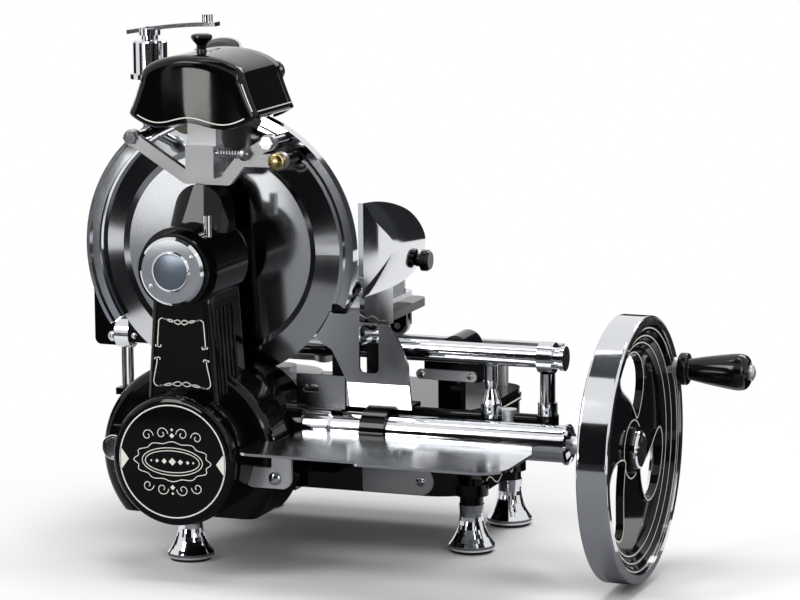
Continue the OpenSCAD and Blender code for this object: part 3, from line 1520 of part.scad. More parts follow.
module push_rod() {
    y = blade_back + stone_park;
    tail = hood_y[1] + hood_round;
    color([0.7, 0.7, 0.72]) at_floor() {
        bar_y([yoke_y[0], tail], push_at[0], push_at[1], spindle_r, mid_fn);
        slab_y([y + stone_t + gap, y + stone_t + gap + wall / 2])
            capsule(push_at, stone_rear_at, yoke_half_w);
        bar_y([y + gap, y + stone_t + gap], stone_rear_at[0], stone_rear_at[1], spindle_r, mid_fn);
    }
}

module push_knob() {
    tail = hood_y[1] + hood_round;
    color([0.03, 0.03, 0.035]) at_floor() translate([push_at[0], tail + hood_knob_r, push_at[1]])
        turned_front([for (i = [0:len(push_r_share) - 1])
            [hood_knob_r * push_r_share[i], hood_knob_r * push_l_share[i]]], mid_fn);
}

module stone_rear() {
    y = blade_back + stone_park;
    color([0.45, 0.42, 0.38]) at_floor() difference() {
        bar_y([y, y + stone_t], stone_rear_at[0], stone_rear_at[1], stone_r);
        bar_y([y - over, y + stone_t + over], stone_rear_at[0], stone_rear_at[1], spindle_r + fit, mid_fn);
    }
}

// shaft tube and tray
module shaft_tube() {
    color([0.82, 0.82, 0.84]) at_floor() translate([0, drive_y, drive_z]) turned_x([
        [drive_r + fit, tube_left], [tube_collar_r, tube_left], [tube_collar_r, tube_left + tube_collar_l],
        [tube_r, tube_left + tube_collar_l + tube_collar_r - tube_r], [tube_r, tube_right],
        [flange_r, tube_right], [flange_r, tube_right + flange_t / 3],
        [flange_r - flange_t / 3, tube_right + 2 * flange_t / 3], [drive_r + flange_t / 2,
            tube_right + flange_t],
        [drive_r + fit, tube_right + flange_t], [drive_r + fit, tube_right - tube_bearing],
        [tube_bore_r, tube_right - tube_bearing - wall], [tube_bore_r, tube_left + tube_bearing + wall],
        [drive_r + fit, tube_left + tube_bearing]]);
}

module tray() {
    z = drive_z - tray_t / 2;
    back = drive_y - tube_r - gap;
    mid = (tray_left + tray_right) / 2;
    color([0.86, 0.87, 0.88]) at_floor() slab_z([z, z + tray_t]) difference() {
        union() {
            round_rect([tray_left, mid], [tray_front, drum_y[0] - 2 * gap], [tray_corner, 0, 0, 0]);
            translate([tray_left_back, drum_y[0] - over]) square([tray_right - tray_left_back,
                back - drum_y[0] + over]);
            round_rect([mid - tray_corner, tray_right], [tray_front - tray_step, drum_y[0] + over],
                [tray_step, 2 * tray_corner, 0, 0]);
        }
        polygon([[tray_right + over, tray_right_y], [tray_right - tray_corner, back + over],
            [tray_right + over, back + over]]);
        translate([tube_left, back - tube_collar_r + tube_r])
            square([tube_collar_l + tube_collar_r - tube_r + gap, 2 * tube_r]);
        translate([stand_x[0] - gap, drive_y - stand_clamp_r - gap])
            square([stand_x[1] - stand_x[0] + 2 * gap, 2 * tube_r]);
    }
}

module tray_bracket() {
    y = drum_y[0];
    slab_y([y - tray_arm_t, y]) difference() {
        union() {
            capsule([tray_arm_x[0] + tray_arm_half_h, tray_arm_z], [tray_arm_x[1] - tray_arm_half_h,
                tray_arm_z],
                tray_arm_half_h);
            translate([tray_arm_x[1] - 2 * tray_arm_half_h, tray_arm_z])
                square([2 * tray_arm_half_h, drive_z - tray_t / 2 - tray_arm_z]);
        }
        translate([0, cover_z]) circle(neck_r + gap, $fn = 2 * fine);
    }
    block([tray_arm_x[1] - 2 * tray_arm_half_h, tray_arm_x[1]], [y - 2 * tray_arm_half_h, y],
        [drive_z - tray_t / 2 - tray_arm_t, drive_z - tray_t / 2]);
}

// plates beside the blade
function spread(x, z, shares) = [for (s = shares) [x[0] + (x[1] - x[0]) * s[0], z[0] + (z[1] - z[0]) * s[1]]];

module gauge_plate() {
    t = gauge_t / 2;
    low_x = gauge_x[0] + (gauge_x[1] - gauge_x[0]) * gauge_outline_share[0][0];
    color([0.86, 0.87, 0.88]) at_floor() {
        slab_y([gauge_y, gauge_y + gauge_t]) difference() {
            polygon(spread(gauge_x, gauge_z, gauge_outline_share));
            circle(blade_r + gauge_clear, $fn = 2 * fine);
            even_rect(gauge_slot_x, gauge_slot_z, gauge_slot_r);
        }
        slab_x([low_x, gauge_x[1]]) polygon([[gauge_y, gauge_z[0]], [gauge_y + gauge_t, gauge_z[0]],
            [gauge_y + deflect_back + t, deflect_z], [gauge_y + deflect_back - t, deflect_z]]);
        for (z = guide_pin_z) bar_y([gauge_y + gauge_t, gauge_y + gauge_t + guide_pin_l], guide_pin_x, z,
            guide_pin_r,
            small_fn);
    }
}

module left_deflector() {
    back = left_plate_y + left_plate_t;
    color([0.86, 0.87, 0.88]) at_floor() {
        difference() {
            block(left_plate_x, [left_plate_y, back], left_plate_z);
            slab_y([left_plate_y - over, back + over]) even_rect(left_slot_x, left_slot_z, left_plate_t);
            bar_x([0, tube_left + gap], drive_y, drive_z, tube_boss_r + gap);
            bar_x([0, 2 * left_plate_x[1]], drive_y, drive_z, stand_clamp_r + gap);
        }
        block([left_plate_x[0] + 2 * wall, post_x[0] - gap], [left_plate_y, drive_y + wall],
            [drive_z + stand_clamp_r, drive_z + stand_clamp_r + left_plate_t]);
    }
}

module plate_stand() {
    foot_z = drive_z + stand_clamp_r;
    color([0.05, 0.05, 0.055]) at_floor() difference() {
        union() {
            block(stand_x, stand_y, [drive_z + tube_r, stand_top]);
            block([guide_pin_x - wall, guide_pin_x + wall], stand_y, [drive_z + tube_r, stand_top]);
            bar_x(stand_x, drive_y, drive_z, stand_clamp_r);
            bar_x([tube_left + gap, post_x[1]], drive_y, drive_z, stand_clamp_r);
            block(post_x, post_y, [foot_z - wall, index_at[1] - 2 * index_half_w]);
            slab_y(post_y) capsule([(post_x[0] + post_x[1]) / 2, index_at[1] - 2 * index_half_w], index_at,
                (post_x[1] - post_x[0]) / 2);
        }
        block([left_plate_x[0], post_x[1] + over], [drive_y - tube_collar_r - over, drive_y + 2 * tube_r],
            [drive_z - 2 * tube_r, drive_z + tube_r / 2]);
        block([left_plate_x[0], post_x[1] + over], [drive_y - 2 * tube_r, left_plate_y + left_plate_t],
            [drive_z - 2 * tube_r, left_plate_z[0] + over]);
        bar_x([left_plate_x[0], stand_x[1] + over], drive_y, drive_z, tube_r + gap);
        bar_x([left_plate_x[0], tube_left + tube_collar_l + tube_collar_r - tube_r + gap], drive_y, drive_z,
            tube_collar_r + gap);
        for (z = guide_pin_z) bar_y([0, 4 * drive_y], guide_pin_x, z, guide_pin_r + fit, small_fn);
        bar_y([0, 2 * index_y[1]], index_at[0], index_at[1], index_pin_r + fit, small_fn);
        slab_y([-drive_y, post_y[0] + gap]) circle(ring_r[1] + gap, $fn = 2 * fine);
    }
}

// index lever
module index_lever() {
    color([0.82, 0.82, 0.84]) at_floor() {
        slab_y(index_y) {
            capsule(index_at, index_end, index_tip_w);
            translate(index_at) circle(index_half_w, $fn = mid_fn);
        }
        bar_y([post_y[0], index_y[1]], index_at[0], index_at[1], index_pin_r, small_fn);
    }
}

module index_grip() {
    d = index_grip_end - index_end;
    l = norm(d);
    y = (index_y[0] + index_y[1]) / 2;
    color([0.03, 0.03, 0.03]) at_floor() {
        translate([index_end[0], y - (index_y[1] - index_y[0]) / 2, index_end[1]])
            turned_front([[0, 0], [index_tip_w, 0], [index_tip_w - index_collar_edge, index_collar_t], [0,
                index_collar_t]], mid_fn);
        translate([index_end[0] + d[0] * grip_start_share, y, index_end[1] + d[1] * grip_start_share])
            rotate([0, atan2(-d[1], d[0]), 0]) turned_x([for (i = [0:len(index_r_pick) - 1])
                [index_grip_r[index_r_pick[i]], l * index_l_share[i]]], mid_fn);
    }
}

// rail, posts and feed box
module rail() {
    color([0.82, 0.82, 0.84]) at_floor() {
        bar_x(rail_x, rail_at[0], rail_at[1], rail_r);
        bar_x([rail_x[1], rail_x[1] + rail_cap_l], rail_at[0], rail_at[1], rail_cap_r);
    }
}

module rail_posts() {
    z = right_post_z;
    top = rail_at[1] - rail_r - gap;
    h = top - baluster_z;
    color([0.8, 0.8, 0.82]) at_floor() {
        for (x = left_rod_x) bar_z([left_rod_z, top], x, rail_at[0], left_rod_r, mid_fn);
        translate([right_post_x, rail_at[0], 0]) turned_z([[0, z[2]], [right_post_r[1], z[2]],
            [right_post_r[1], z[1]], [right_post_r[0], z[1]], [right_post_r[0], z[0]], [0, z[0]]]);
        for (x = [left_head_x, right_post_x]) difference() {
            bar_x([x - rail_head_half, x + rail_head_half], rail_at[0], rail_at[1], rail_head_r);
            bar_x([x - 2 * rail_head_half, x + 2 * rail_head_half], rail_at[0], rail_at[1], rail_r + gap);
        }
        difference() {
            translate([baluster_x, rail_at[0], baluster_z]) turned_z([for (i = [0:len(baluster_r) - 1])
                [baluster_r[i], h * baluster_h_share[i]]]);
            bar_x([baluster_x - 2 * baluster_r[1], baluster_x + 2 * baluster_r[1]], arm_at[0], arm_at[1],
                arm_r + gap,
                mid_fn);
        }
    }
}

module rail_brackets() {
    x = box_x[0] + box_leg_t / 2;
    mid = (box_x[0] + box_x[1]) / 2;
    color([0.04, 0.04, 0.045]) at_floor() {
        block([left_rod_x[0] - wall, -rear_drum_r - wall], [rail_at[0] - wall, base_y[0] - wall / 2],
            [left_rod_z - wall, left_rod_z]);
        block([left_rod_x[0] - wall, base_x[0] + 2 * base_back_r], [rear_drum_back + bracket_clear,
            base_y[0] - wall / 2],
            [left_rod_z - wall, left_rod_z]);
        block([base_x[0] + base_back_r, -bridge_half_w - gap], [rear_drum_back + bracket_clear,
            base_y[0] - bead_out],
            [left_rod_z - 3 * wall, left_rod_z]);
        bar_x([arm_left, right_post_x], arm_at[0], arm_at[1], arm_r, mid_fn);
        bar_z([right_post_z[3], right_post_z[2]], right_post_x, arm_at[0], right_post_r[2], mid_fn);
        block([arm_left - 2 * wall, arm_left + wall], [arm_at[0] - wall, base_y[0] - bead_out],
            [arm_at[1] - 2 * wall, arm_at[1] + wall]);
        slab_y(box_y) {
            even_rect(box_x, box_z, box_r);
            intersection() {
                translate([mid, box_z[1]]) circle(box_arch_r, $fn = fine);
                translate([mid - box_arch_r, box_z[1] - over]) square([2 * box_arch_r, box_arch_r + over]);
            }
        }
        block([x, x + 2 * box_leg_t], [box_y[0] + 2 * box_leg_t, box_y[1]], [base_z[1], box_z[0] + box_r]);
    }
}

module steel_fittings() {
    color([0.6, 0.6, 0.62]) at_floor() {
        tray_bracket();
        block(track_x, [track_y - track_half_w, track_y + track_half_w], track_z);
        for (x = track_post_x) bar_z([base_z[1], track_z[0]], x, track_y, track_post_r, mid_fn);
        slab_y([box_y[0] - link_t, box_y[0]]) capsule([link_x[0] + link_half_h, link_z],
            [link_x[1] - link_half_h, link_z], link_half_h);
        difference() {
            bar_z([arm_at[1] - arm_boss_half_h, arm_at[1] + arm_boss_half_h], arm_boss_x, arm_at[0],
                arm_boss_r, mid_fn);
            bar_x([arm_left, right_post_x], arm_at[0], arm_at[1], arm_r + gap, mid_fn);
        }
    }
}

// small bright screws, the oiler and the ringed plug on the fixed castings
module fixed_fittings() {
    color([0.82, 0.82, 0.84]) at_floor() {
        translate([tray_arm_x[1] - tray_arm_half_h - wall, drum_y[0] - tray_arm_t,
            tray_arm_z]) dome_front(dome_r, dome_h);
        translate([data_x[1] - 2 * wall, base_y[0] - data_t, data_z[0] + 2 * wall]) dome_front(plate_screw_r, plate_screw_h);
        for (x = [link_x[0] + wall, link_x[1] - wall]) translate([x, box_y[0] - link_t, link_z])
            dome_front(screw_head_r, screw_head_h);
        for (a = hub_screw_a) translate([(hub_cap_r + hub_disc_r) / 2 * cos(a), hub_cap_front,
            hub_z + (hub_cap_r + hub_disc_r) / 2 * sin(a)]) dome_front(hub_screw_r, hub_screw_h);
        translate([plug_c[0], drum_y[0], plug_c[1]]) turned_front([[0, 0], [plug_r, 0], [plug_r,
            plug_t - plug_edge],
            [plug_r - plug_edge, plug_t], [plug_r - plug_rim_w, plug_t],
            [plug_r - plug_rim_w - plug_edge, plug_t - plug_dish], [0, plug_t - plug_dish]]);
        bar_z([oiler_at[2], oiler_at[2] + hub_step_r / 2 + oiler_h], oiler_at[0], oiler_at[1], oiler_r,
            small_fn);
        ring_bolts();
    }
}

// flywheel
module flywheel_rim() {
    r = rim_round;
    color([0.82, 0.82, 0.84]) at_floor() translate([0, drive_y, drive_z]) turned_x(concat(
        [[fly_r - rim_t, fly_x[0]]], quarter([fly_r - r, fly_x[0] + r], r, -90),
        quarter([fly_r - r, fly_x[1] - r], r, 0), [[fly_r - rim_t, fly_x[1]]]), 2 * fine);
}

// outline of a web opening, widened by w; t runs around it
function window_pts(a0, w) = [for (i = [0:outline_steps - 1]) let (t = 360 * i / outline_steps,
    rr = window_mid_r + (window_half_l + w) * sin(t),
    spread_share = window_inner_share + (1 - window_inner_share) * (rr - window_mid_r + window_half_l) / (2 * window_half_l),
    a = a0 + window_twist * sin(t) + (window_half_a * spread_share + w / rr * 180 / PI) * cos(t))
    [rr * cos(a), rr * sin(a)]];

module flywheel_web() {
    in_r = fly_r - rim_t;
    f = fly_x[1] - dish_drop;
    color([0.03, 0.03, 0.035]) at_floor() translate([0, drive_y, drive_z]) {
        difference() {
            union() {
                turned_x([[drive_r, fly_hub_x[0]], [fly_collar_r, fly_hub_x[0]], [fly_collar_r,
                    web_back - wall],
                    [fly_hub_r, web_back - wall / 2], [fly_hub_r, web_back], [dish_r[5], web_back],
                        [dish_r[4], web_back],
                    [dish_r[4] + web_t, web_back], [in_r, fly_x[0] + rim_round], [in_r, f], [dish_r[0], f],
                    [dish_r[1], f - dish_drop], [dish_r[2], f - dish_drop], [dish_r[3], f - 2 * dish_drop],
                    [dish_r[4], f - 2 * dish_drop], [dish_r[5], web_front], [fly_hub_r, web_front],
                    [fly_hub_r, fly_hub_x[1] - fly_hub_edge], [fly_hub_r - fly_hub_edge, fly_hub_x[1]],
                        [drive_r, fly_hub_x[1]]], 2 * fine);
                slab_x([web_front - over, web_front + window_bead_h]) for (i = [0:web_windows - 1])
                    polygon(window_pts(90 + 360 / web_windows * i, window_bead_w));
            }
            slab_x([web_back - over, fly_x[1]]) for (i = [0:web_windows - 1])
                polygon(window_pts(90 + 360 / web_windows * i, 0));
        }
    }
}

module flywheel_cap() {
    t = fly_cap_t;
    color([0.82, 0.82, 0.84]) at_floor() translate([fly_hub_x[1], drive_y, drive_z]) turned_x(concat(
        [[0, 0], [fly_cap_r, 0], [fly_cap_r, t / 3]],
        [for (i = [1:quarter_steps - 1])
            [fly_cap_r * cos(quarter_turn * i), t / 3 + 2 * t / 3 * sin(quarter_turn * i)]], [[0, t]]));
}

module drive_shaft() {
    color([0.6, 0.6, 0.62]) at_floor() bar_x([drive_left, fly_hub_x[1]], drive_y, drive_z, drive_r);
}

module drive_crown() {
    color([0.5, 0.5, 0.52]) at_floor() translate([crown_a_x, drive_y, drive_z]) rotate([0, 90, 0])
        crown(drive_r);
}

module handle_pin() {
    color([0.7, 0.7, 0.72]) at_floor() {
        bar_x([web_back + wall, handle_end - handle_cap_t], handle_y, handle_z, pin_r, mid_fn);
        bar_x([fly_x[1] + gap, fly_x[1] + gap + bolt_head_t], handle_y, handle_z, grip_r[0], mid_fn);
        translate([handle_end - handle_cap_t, handle_y, handle_z]) turned_x([[0, 0], [handle_cap_r, 0],
            [handle_cap_r, handle_cap_t / 2], [handle_cap_r / 2, handle_cap_t], [0, handle_cap_t]]);
    }
}

module handle_grip() {
    n = len(grip_r) - 1;
    color([0.03, 0.03, 0.03]) at_floor() translate([grip_left, handle_y, handle_z]) turned_x(concat(
        [[pin_r + fit, 0]], [for (i = [0:n]) [grip_r[i], grip_l * grip_share[i]]], [[pin_r + fit, grip_l]]));
}

// crank and connecting rod
module crank_shaft() {
    color([0.55, 0.55, 0.57]) at_floor() {
        bar_z([base_z[1] - crank_boss_h - wall / 2, crank_arm_z + crank_t], 0, crank_y, crank_shaft_r);
        slab_z([crank_arm_z, crank_arm_z + crank_t]) {
            capsule([-crank_throw, crank_y], [0, crank_y], crank_half_w);
            translate([0, crank_y]) circle(crank_hub_r, $fn = fine);
            translate([-crank_throw, crank_y]) circle(crank_end_r, $fn = mid_fn);
        }
        bar_z([crank_arm_z + crank_t, crank_arm_z + crank_t + crank_pin_h], -crank_throw, crank_y,
            crank_pin_r, mid_fn);
    }
}

module crank_crown() {
    color([0.5, 0.5, 0.52]) at_floor() translate([0, crank_y, crown_b_z]) crown(crank_shaft_r);
}

module connecting_rod() {
    color([0.55, 0.55, 0.57]) at_floor() slab_z([rod_z, rod_z + rod_t]) difference() {
        union() {
            capsule([-crank_throw, crank_y], [rod_pin_x, crank_y], rod_half_w);
            translate([-crank_throw, crank_y]) circle(rod_big_r, $fn = fine);
            translate([rod_pin_x, crank_y]) circle(rod_small_r, $fn = fine);
        }
        translate([-crank_throw, crank_y]) circle(crank_pin_r + gap, $fn = mid_fn);
        translate([rod_pin_x, crank_y]) circle(rod_pin_r + fit, $fn = mid_fn);
    }
}

// carriage
module carriage() {
    color([0.04, 0.04, 0.045]) at_floor() difference() {
        union() {
            slab_z(deck_z) even_rect(deck_x, deck_y, deck_r);
            for (s = saddle_x) {
                block(s, [rail_at[0] - saddle_half_w, rail_at[0] + saddle_half_w], [saddle_z, deck_z[1]]);
                block(s, [rail_at[0], deck_y[0] + deck_r], deck_z);
            }
            for (x = wheel_x) for (s = [-1, 1]) translate([x, track_y, 0]) {
                a = s * (wheel_w / 2 + gap);
                b = s * (wheel_w / 2 + gap + wheel_cheek);
                block([-wheel_r, wheel_r], [min(a, b), max(a, b)], [wheel_z, deck_z[1]]);
                slab_y([min(a, b), max(a, b)]) translate([0, wheel_z]) circle(2 * wheel_pin_r, $fn = mid_fn);
            }
            for (x = wheel_x) block([x - wheel_r, x + wheel_r], [deck_y[1] - deck_r, track_y + wheel_w],
                deck_z);
            bar_z([rod_z + rod_t + gap, deck_z[0]], rod_pin_x, crank_y, rod_small_r, mid_fn);
            slab_y(end_box_y) even_rect(end_box_x, end_box_z, end_box_r);
            for (y = screw_block_y) block([screw_x - 2 * screw_r, screw_x + 2 * screw_r], [y, y + wall],
                [screw_z - 2 * screw_r, deck_z[0]]);
        }
        for (y = screw_block_y) bar_y([y - over, y + wall + over], screw_x, screw_z, screw_r + fit, mid_fn);
        block([screw_x - nut_half_w - slide_gap, screw_x + nut_half_w + slide_gap], nut_slot_y,
            [deck_z[0] - over, deck_z[1] + over]);
        for (s = saddle_x) bar_x([s[0] - over, s[1] + over], rail_at[0], rail_at[1], rail_r + slide_gap / 2);
        for (x = wheel_x) bar_y([track_y - 3 * wheel_w, track_y + 3 * wheel_w], x, wheel_z,
            wheel_pin_r + fit, mid_fn);
    }
}

module carriage_fittings() {
    color([0.75, 0.75, 0.77]) at_floor() {
        translate([(end_box_x[0] + end_box_x[1]) / 2 + dome_h, end_box_y[0], end_box_z[0] + end_screw_rise])
            dome_front(end_screw_r, dome_h);
        for (s = saddle_x) for (x = [s[0] + wall, s[1] - wall]) translate([x, rail_at[0] - saddle_half_w,
            saddle_z + wall])
            dome_front(screw_head_r, screw_head_h);
        bar_z([rod_z - 2 * gap, rod_z + rod_t + gap], rod_pin_x, crank_y, rod_pin_r, mid_fn);
        bar_z([rod_z - 2 * gap - rod_washer_t, rod_z - gap], rod_pin_x, crank_y, rod_pin_r + rod_washer_w,
            mid_fn);
        for (x = way_x) block([x - way_half_w, x + way_half_w], [deck_y[0] + wall, deck_y[1] - wall],
            [deck_top, deck_top + way_h]);
    }
}

module roller(x) {
    color([0.6, 0.6, 0.62]) at_floor() {
        bar_y([track_y - wheel_w / 2, track_y + wheel_w / 2], x, wheel_z, wheel_r);
        bar_y([track_y - wheel_w / 2 - gap - wheel_cheek, track_y + wheel_w / 2 + gap + wheel_cheek], x,
            wheel_z,
            wheel_pin_r, mid_fn);
    }
}
module left_roller() {
    roller(wheel_x[0]);
}
module right_roller() {
    roller(wheel_x[1]);
}

module feed_screw() {
    color([0.7, 0.7, 0.72]) at_floor() {
        bar_y([screw_y[0], screw_y[1]], screw_x, screw_z, screw_r, mid_fn);
        bar_y([screw_y[1] - feed_wheel_t, screw_y[1]], screw_x, screw_z, feed_wheel_r, mid_fn);
    }
}

// meat table and fence
module meat_table() {
    color([0.82, 0.83, 0.84]) at_floor() {
        slab_z([table_z, table_top]) even_rect(table_x, table_y, table_r);
        difference() {
            block([screw_x - nut_half_w, screw_x + nut_half_w], nut_y, [screw_z - 2 * screw_r, table_z + over]);
            bar_y([nut_y[0] - over, nut_y[1] + over], screw_x, screw_z, screw_r + fit, mid_fn);
        }
        block([table_x[0] + table_r, table_x[1] - table_r], [table_y[1] - lip_t, table_y[1]], [table_top,
            table_top + lip_h]);
    }
}

module fence() {
    color([0.82, 0.82, 0.84]) at_floor() {
        slab_x([fence_x, fence_x + fence_t]) polygon(spread(fence_y, fence_z, fence_outline_share));
        block([fence_x, fence_x + fence_t], fence_foot_y, [deck_z[0], fence_z[0] + wall]);
    }
}

module fence_knob() {
    color([0.03, 0.03, 0.035]) at_floor() translate([fence_x + fence_t, fence_knob_at[0], fence_knob_at[1]])
        turned_x([for (i = [0:len(fence_knob_r_share) - 1])
            [fence_knob_r * fence_knob_r_share[i], fence_knob_l * fence_knob_l_share[i]]], mid_fn);
}

// meat clamp
module clamp_post() {
    color([0.82, 0.82, 0.84]) at_floor() {
        bar_z([table_top, clamp_top], clamp_at[0], clamp_at[1], clamp_post_r);
        bar_z([table_top, table_top + wall], clamp_at[0], clamp_at[1], post_foot_r, mid_fn);
        bar_z([clamp_top, lever_z[0] + lever_t], clamp_at[0], clamp_at[1], lever_pin_r, mid_fn);
    }
}

module clamp_arm() {
    d = clamp_end - clamp_at;
    r = clamp_post_r + fit;
    z = barrel_z;
    color([0.8, 0.8, 0.82]) at_floor() translate([clamp_at[0], clamp_at[1], 0]) turned_z([[r, z[0]],
        [barrel_flange_r, z[0]], [barrel_flange_r, z[0] + barrel_flange_t], [barrel_r, z[0] + barrel_flange_t],
        [barrel_r, z[1] - barrel_edge], [barrel_r - barrel_edge, z[1]], [r, z[1]]]);
    color([0.8, 0.8, 0.82]) at_floor() difference() {
        union() {
            slab_z(clamp_arm_z) {
                capsule(clamp_at + d * ((barrel_r + clamp_arm_w) / norm(d)), clamp_end, clamp_arm_w);
                translate(clamp_end) circle(clamp_boss_r, $fn = mid_fn);
                translate(clamp_at) rotate(atan2(d[1], d[0])) translate([0, -clamp_arm_w])
                    square([norm(d) / 2, 2 * clamp_arm_w]);
            }
            intersection() {
                translate([clamp_end[0], clamp_end[1], hand_z]) rotate([hand_lean, 0, 0])
                    bar_z([-hand_r, -hand_t / 2 - 2 * gap], 0, 0, hand_neck_r, mid_fn);
                block([2 * clamp_at[0], 0], [0, 2 * clamp_at[1]], [clamp_arm_z[1] - screw_cap_t, hand_z]);
            }
        }
        bar_z([clamp_arm_z[0] - over, clamp_arm_z[1] + over], clamp_at[0], clamp_at[1], barrel_r - over);
        bar_z([clamp_arm_z[0] - over, clamp_arm_z[1] - screw_cap_t], clamp_end[0], clamp_end[1],
            press_r + fit, mid_fn);
        translate([clamp_end[0], clamp_end[1], hand_z]) rotate([hand_lean, 0, 0])
            bar_z([-hand_t - gap, 0], 0, 0, hand_stem_r + fit, mid_fn);
    }
}

module press_plate() {
    color([0.8, 0.8, 0.82]) at_floor() {
        bar_z([press_top, clamp_arm_z[1] - screw_cap_t - gap], clamp_end[0], clamp_end[1], press_r, mid_fn);
        slab_z([press_z, press_top]) even_rect([clamp_end[0] - press_half[0], clamp_end[0] + press_half[0]],
            [clamp_end[1] - press_half[1], clamp_end[1] + press_half[1]], table_r);
        for (i = [-1, 1]) for (j = [-1, 1]) translate([clamp_end[0] + i * press_half[0] / 2,
            clamp_end[1] + j * press_half[1] / 2, press_z - spike_l])
            turned_z([[0, 0], [spike_r, spike_l], [0, spike_l]], small_fn);
    }
}

module hand_wheel() {
    color([0.03, 0.03, 0.035]) at_floor() translate([clamp_end[0], clamp_end[1],
        hand_z]) rotate([hand_lean, 0, 0])
        turned_z([[0, -hand_t / 2], [hand_r * hand_face_share[0], -hand_t / 2], [hand_r - hand_rim_r,
            -hand_t / 4],
            [hand_r - hand_rim_r, hand_t / 4], [hand_r * hand_face_share[1], hand_t / 2], [0, hand_t / 2]]);
    color([0.03, 0.03, 0.035]) at_floor() translate([clamp_end[0], clamp_end[1],
        hand_z]) rotate([hand_lean, 0, 0])
        bar_z([-hand_t, 0], 0, 0, hand_stem_r, mid_fn);
}

module hand_rim() {
    color([0.82, 0.82, 0.84]) at_floor() translate([clamp_end[0], clamp_end[1], hand_z]) rotate([hand_lean,
        0, 0])
        difference() {
            cylinder(h = hand_t / 2, r = hand_r, center = true, $fn = fine);
            cylinder(h = hand_t, r = hand_r - hand_rim_r, center = true, $fn = fine);
        }
}

module clamp_lever() {
    rise = lever_z[1] - lever_z[0];
    span = lever_x[1] - lever_x[0];
    top = [for (i = [0:arc_steps]) let (s = i / arc_steps) [lever_x[0] + span * s,
        lever_z[0] + rise * sin(90 * s)]];
    low = [for (i = [0:arc_steps]) let (s = 1 - i / arc_steps)
        [lever_x[0] + span * s, lever_z[0] + rise * sin(90 * s) - lever_t]];
    color([0.82, 0.82, 0.84]) at_floor() {
        difference() {
            union() {
                slab_y([clamp_at[1] - lever_half_w, clamp_at[1] + lever_half_w]) polygon(concat(top, low));
                bar_z([clamp_top + gap, lever_z[0] + lever_t / 2], clamp_at[0], clamp_at[1], lever_hub_r,
                    mid_fn);
            }
            bar_z([clamp_top - over, lever_z[1] + over], clamp_at[0], clamp_at[1], lever_pin_r + fit, mid_fn);
        }
        bar_z([lever_z[1] - lever_t, lever_z[1] + knurl_h], lever_x[1] - 2 * knurl_r, clamp_at[1], knurl_r,
            mid_fn);
    }
}

feet();
foot_soles();
base_casting();
data_plate();
drive_housing();
drive_cover();
pillar();
hub_cover();
guard_ring();
wishbone();
tension_spring();
sharpener_yoke();
shaft_tube();
tray();
left_deflector();
plate_stand();
rail();
rail_posts();
rail_brackets();
steel_fittings();
fixed_fittings();
chain();
flywheel_rim();
flywheel_web();
flywheel_cap();
drive_shaft();
drive_crown();
handle_pin();
handle_grip();
cross_shaft();
blade();
blade_shaft();
crank_shaft();
crank_crown();
connecting_rod();
carriage();
carriage_fittings();
left_roller();
right_roller();
feed_screw();
meat_table();
fence();
fence_knob();
clamp_post();
clamp_arm();
press_plate();
hand_wheel();
hand_rim();
clamp_lever();
gauge_plate();
index_lever();
index_grip();
hood();
front_spindle();
stone_front();
push_rod();
push_knob();
stone_rear();
brass_knob();
brass_knob_body();
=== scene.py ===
"""Finish, pinstripes and small fittings of a hand crank meat slicer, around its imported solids."""

import json
import math

import bpy
from mathutils import Matrix, Vector


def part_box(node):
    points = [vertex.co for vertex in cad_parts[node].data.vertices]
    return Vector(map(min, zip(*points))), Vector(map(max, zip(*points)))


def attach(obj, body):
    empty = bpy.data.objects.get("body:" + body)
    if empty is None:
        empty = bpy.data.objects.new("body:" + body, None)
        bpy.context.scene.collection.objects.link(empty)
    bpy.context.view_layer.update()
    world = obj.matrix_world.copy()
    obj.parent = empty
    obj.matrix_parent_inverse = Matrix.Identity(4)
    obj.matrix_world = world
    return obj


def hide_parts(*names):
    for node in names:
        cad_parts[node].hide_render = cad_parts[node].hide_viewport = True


bl_info = {
    "name": "Hand Crank Meat Slicer Finish",
    "version": (1, 0, 0),
    "blender": (4, 5, 0),
    "location": "View3D > Sidebar > Slicer",
    "description": "Enamel, chrome, pinstripes and small fittings for a flywheel meat slicer",
    "category": "Object",
}

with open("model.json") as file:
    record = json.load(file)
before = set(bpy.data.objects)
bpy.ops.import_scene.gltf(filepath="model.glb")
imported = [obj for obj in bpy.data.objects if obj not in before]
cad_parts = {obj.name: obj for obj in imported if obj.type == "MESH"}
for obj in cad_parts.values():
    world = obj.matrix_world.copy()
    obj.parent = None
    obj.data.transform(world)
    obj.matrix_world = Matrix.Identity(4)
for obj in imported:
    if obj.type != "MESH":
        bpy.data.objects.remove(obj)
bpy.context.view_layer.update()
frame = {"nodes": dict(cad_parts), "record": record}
MM = 0.001

# Everything below is measured from the centre of the blade, as the castings are.
BLADE_LOW, BLADE_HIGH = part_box("blade")
BLADE_BACK = 3.0
BLADE_CENTRE = Vector((
    (BLADE_LOW.x + BLADE_HIGH.x) / 2,
    BLADE_HIGH.y - BLADE_BACK * MM,
    (BLADE_LOW.z + BLADE_HIGH.z) / 2,
))
FRONT = Vector((0, -1, 0))
BACK = Vector((0, 1, 0))
RIGHT = Vector((1, 0, 0))
UP = Vector((0, 0, 1))

# The photograph's camera: a long lens, a little to the right of the front and above. Its place is in mm from
# the blade's centre, and its turns are in degrees.
CAMERA_SPOT = (1601.65, -3688.48, 618.28)
CAMERA_TURN, CAMERA_DROP, CAMERA_ROLL = 20.5, 9.6, -0.4
CAMERA_LENS, CAMERA_SENSOR, CAMERA_REACH = 157.5, 36, 60


def spot(x, y, z):
    """A place in millimetres from the blade's centre, as a vector in metres."""
    return BLADE_CENTRE + Vector((x, y, z)) * MM


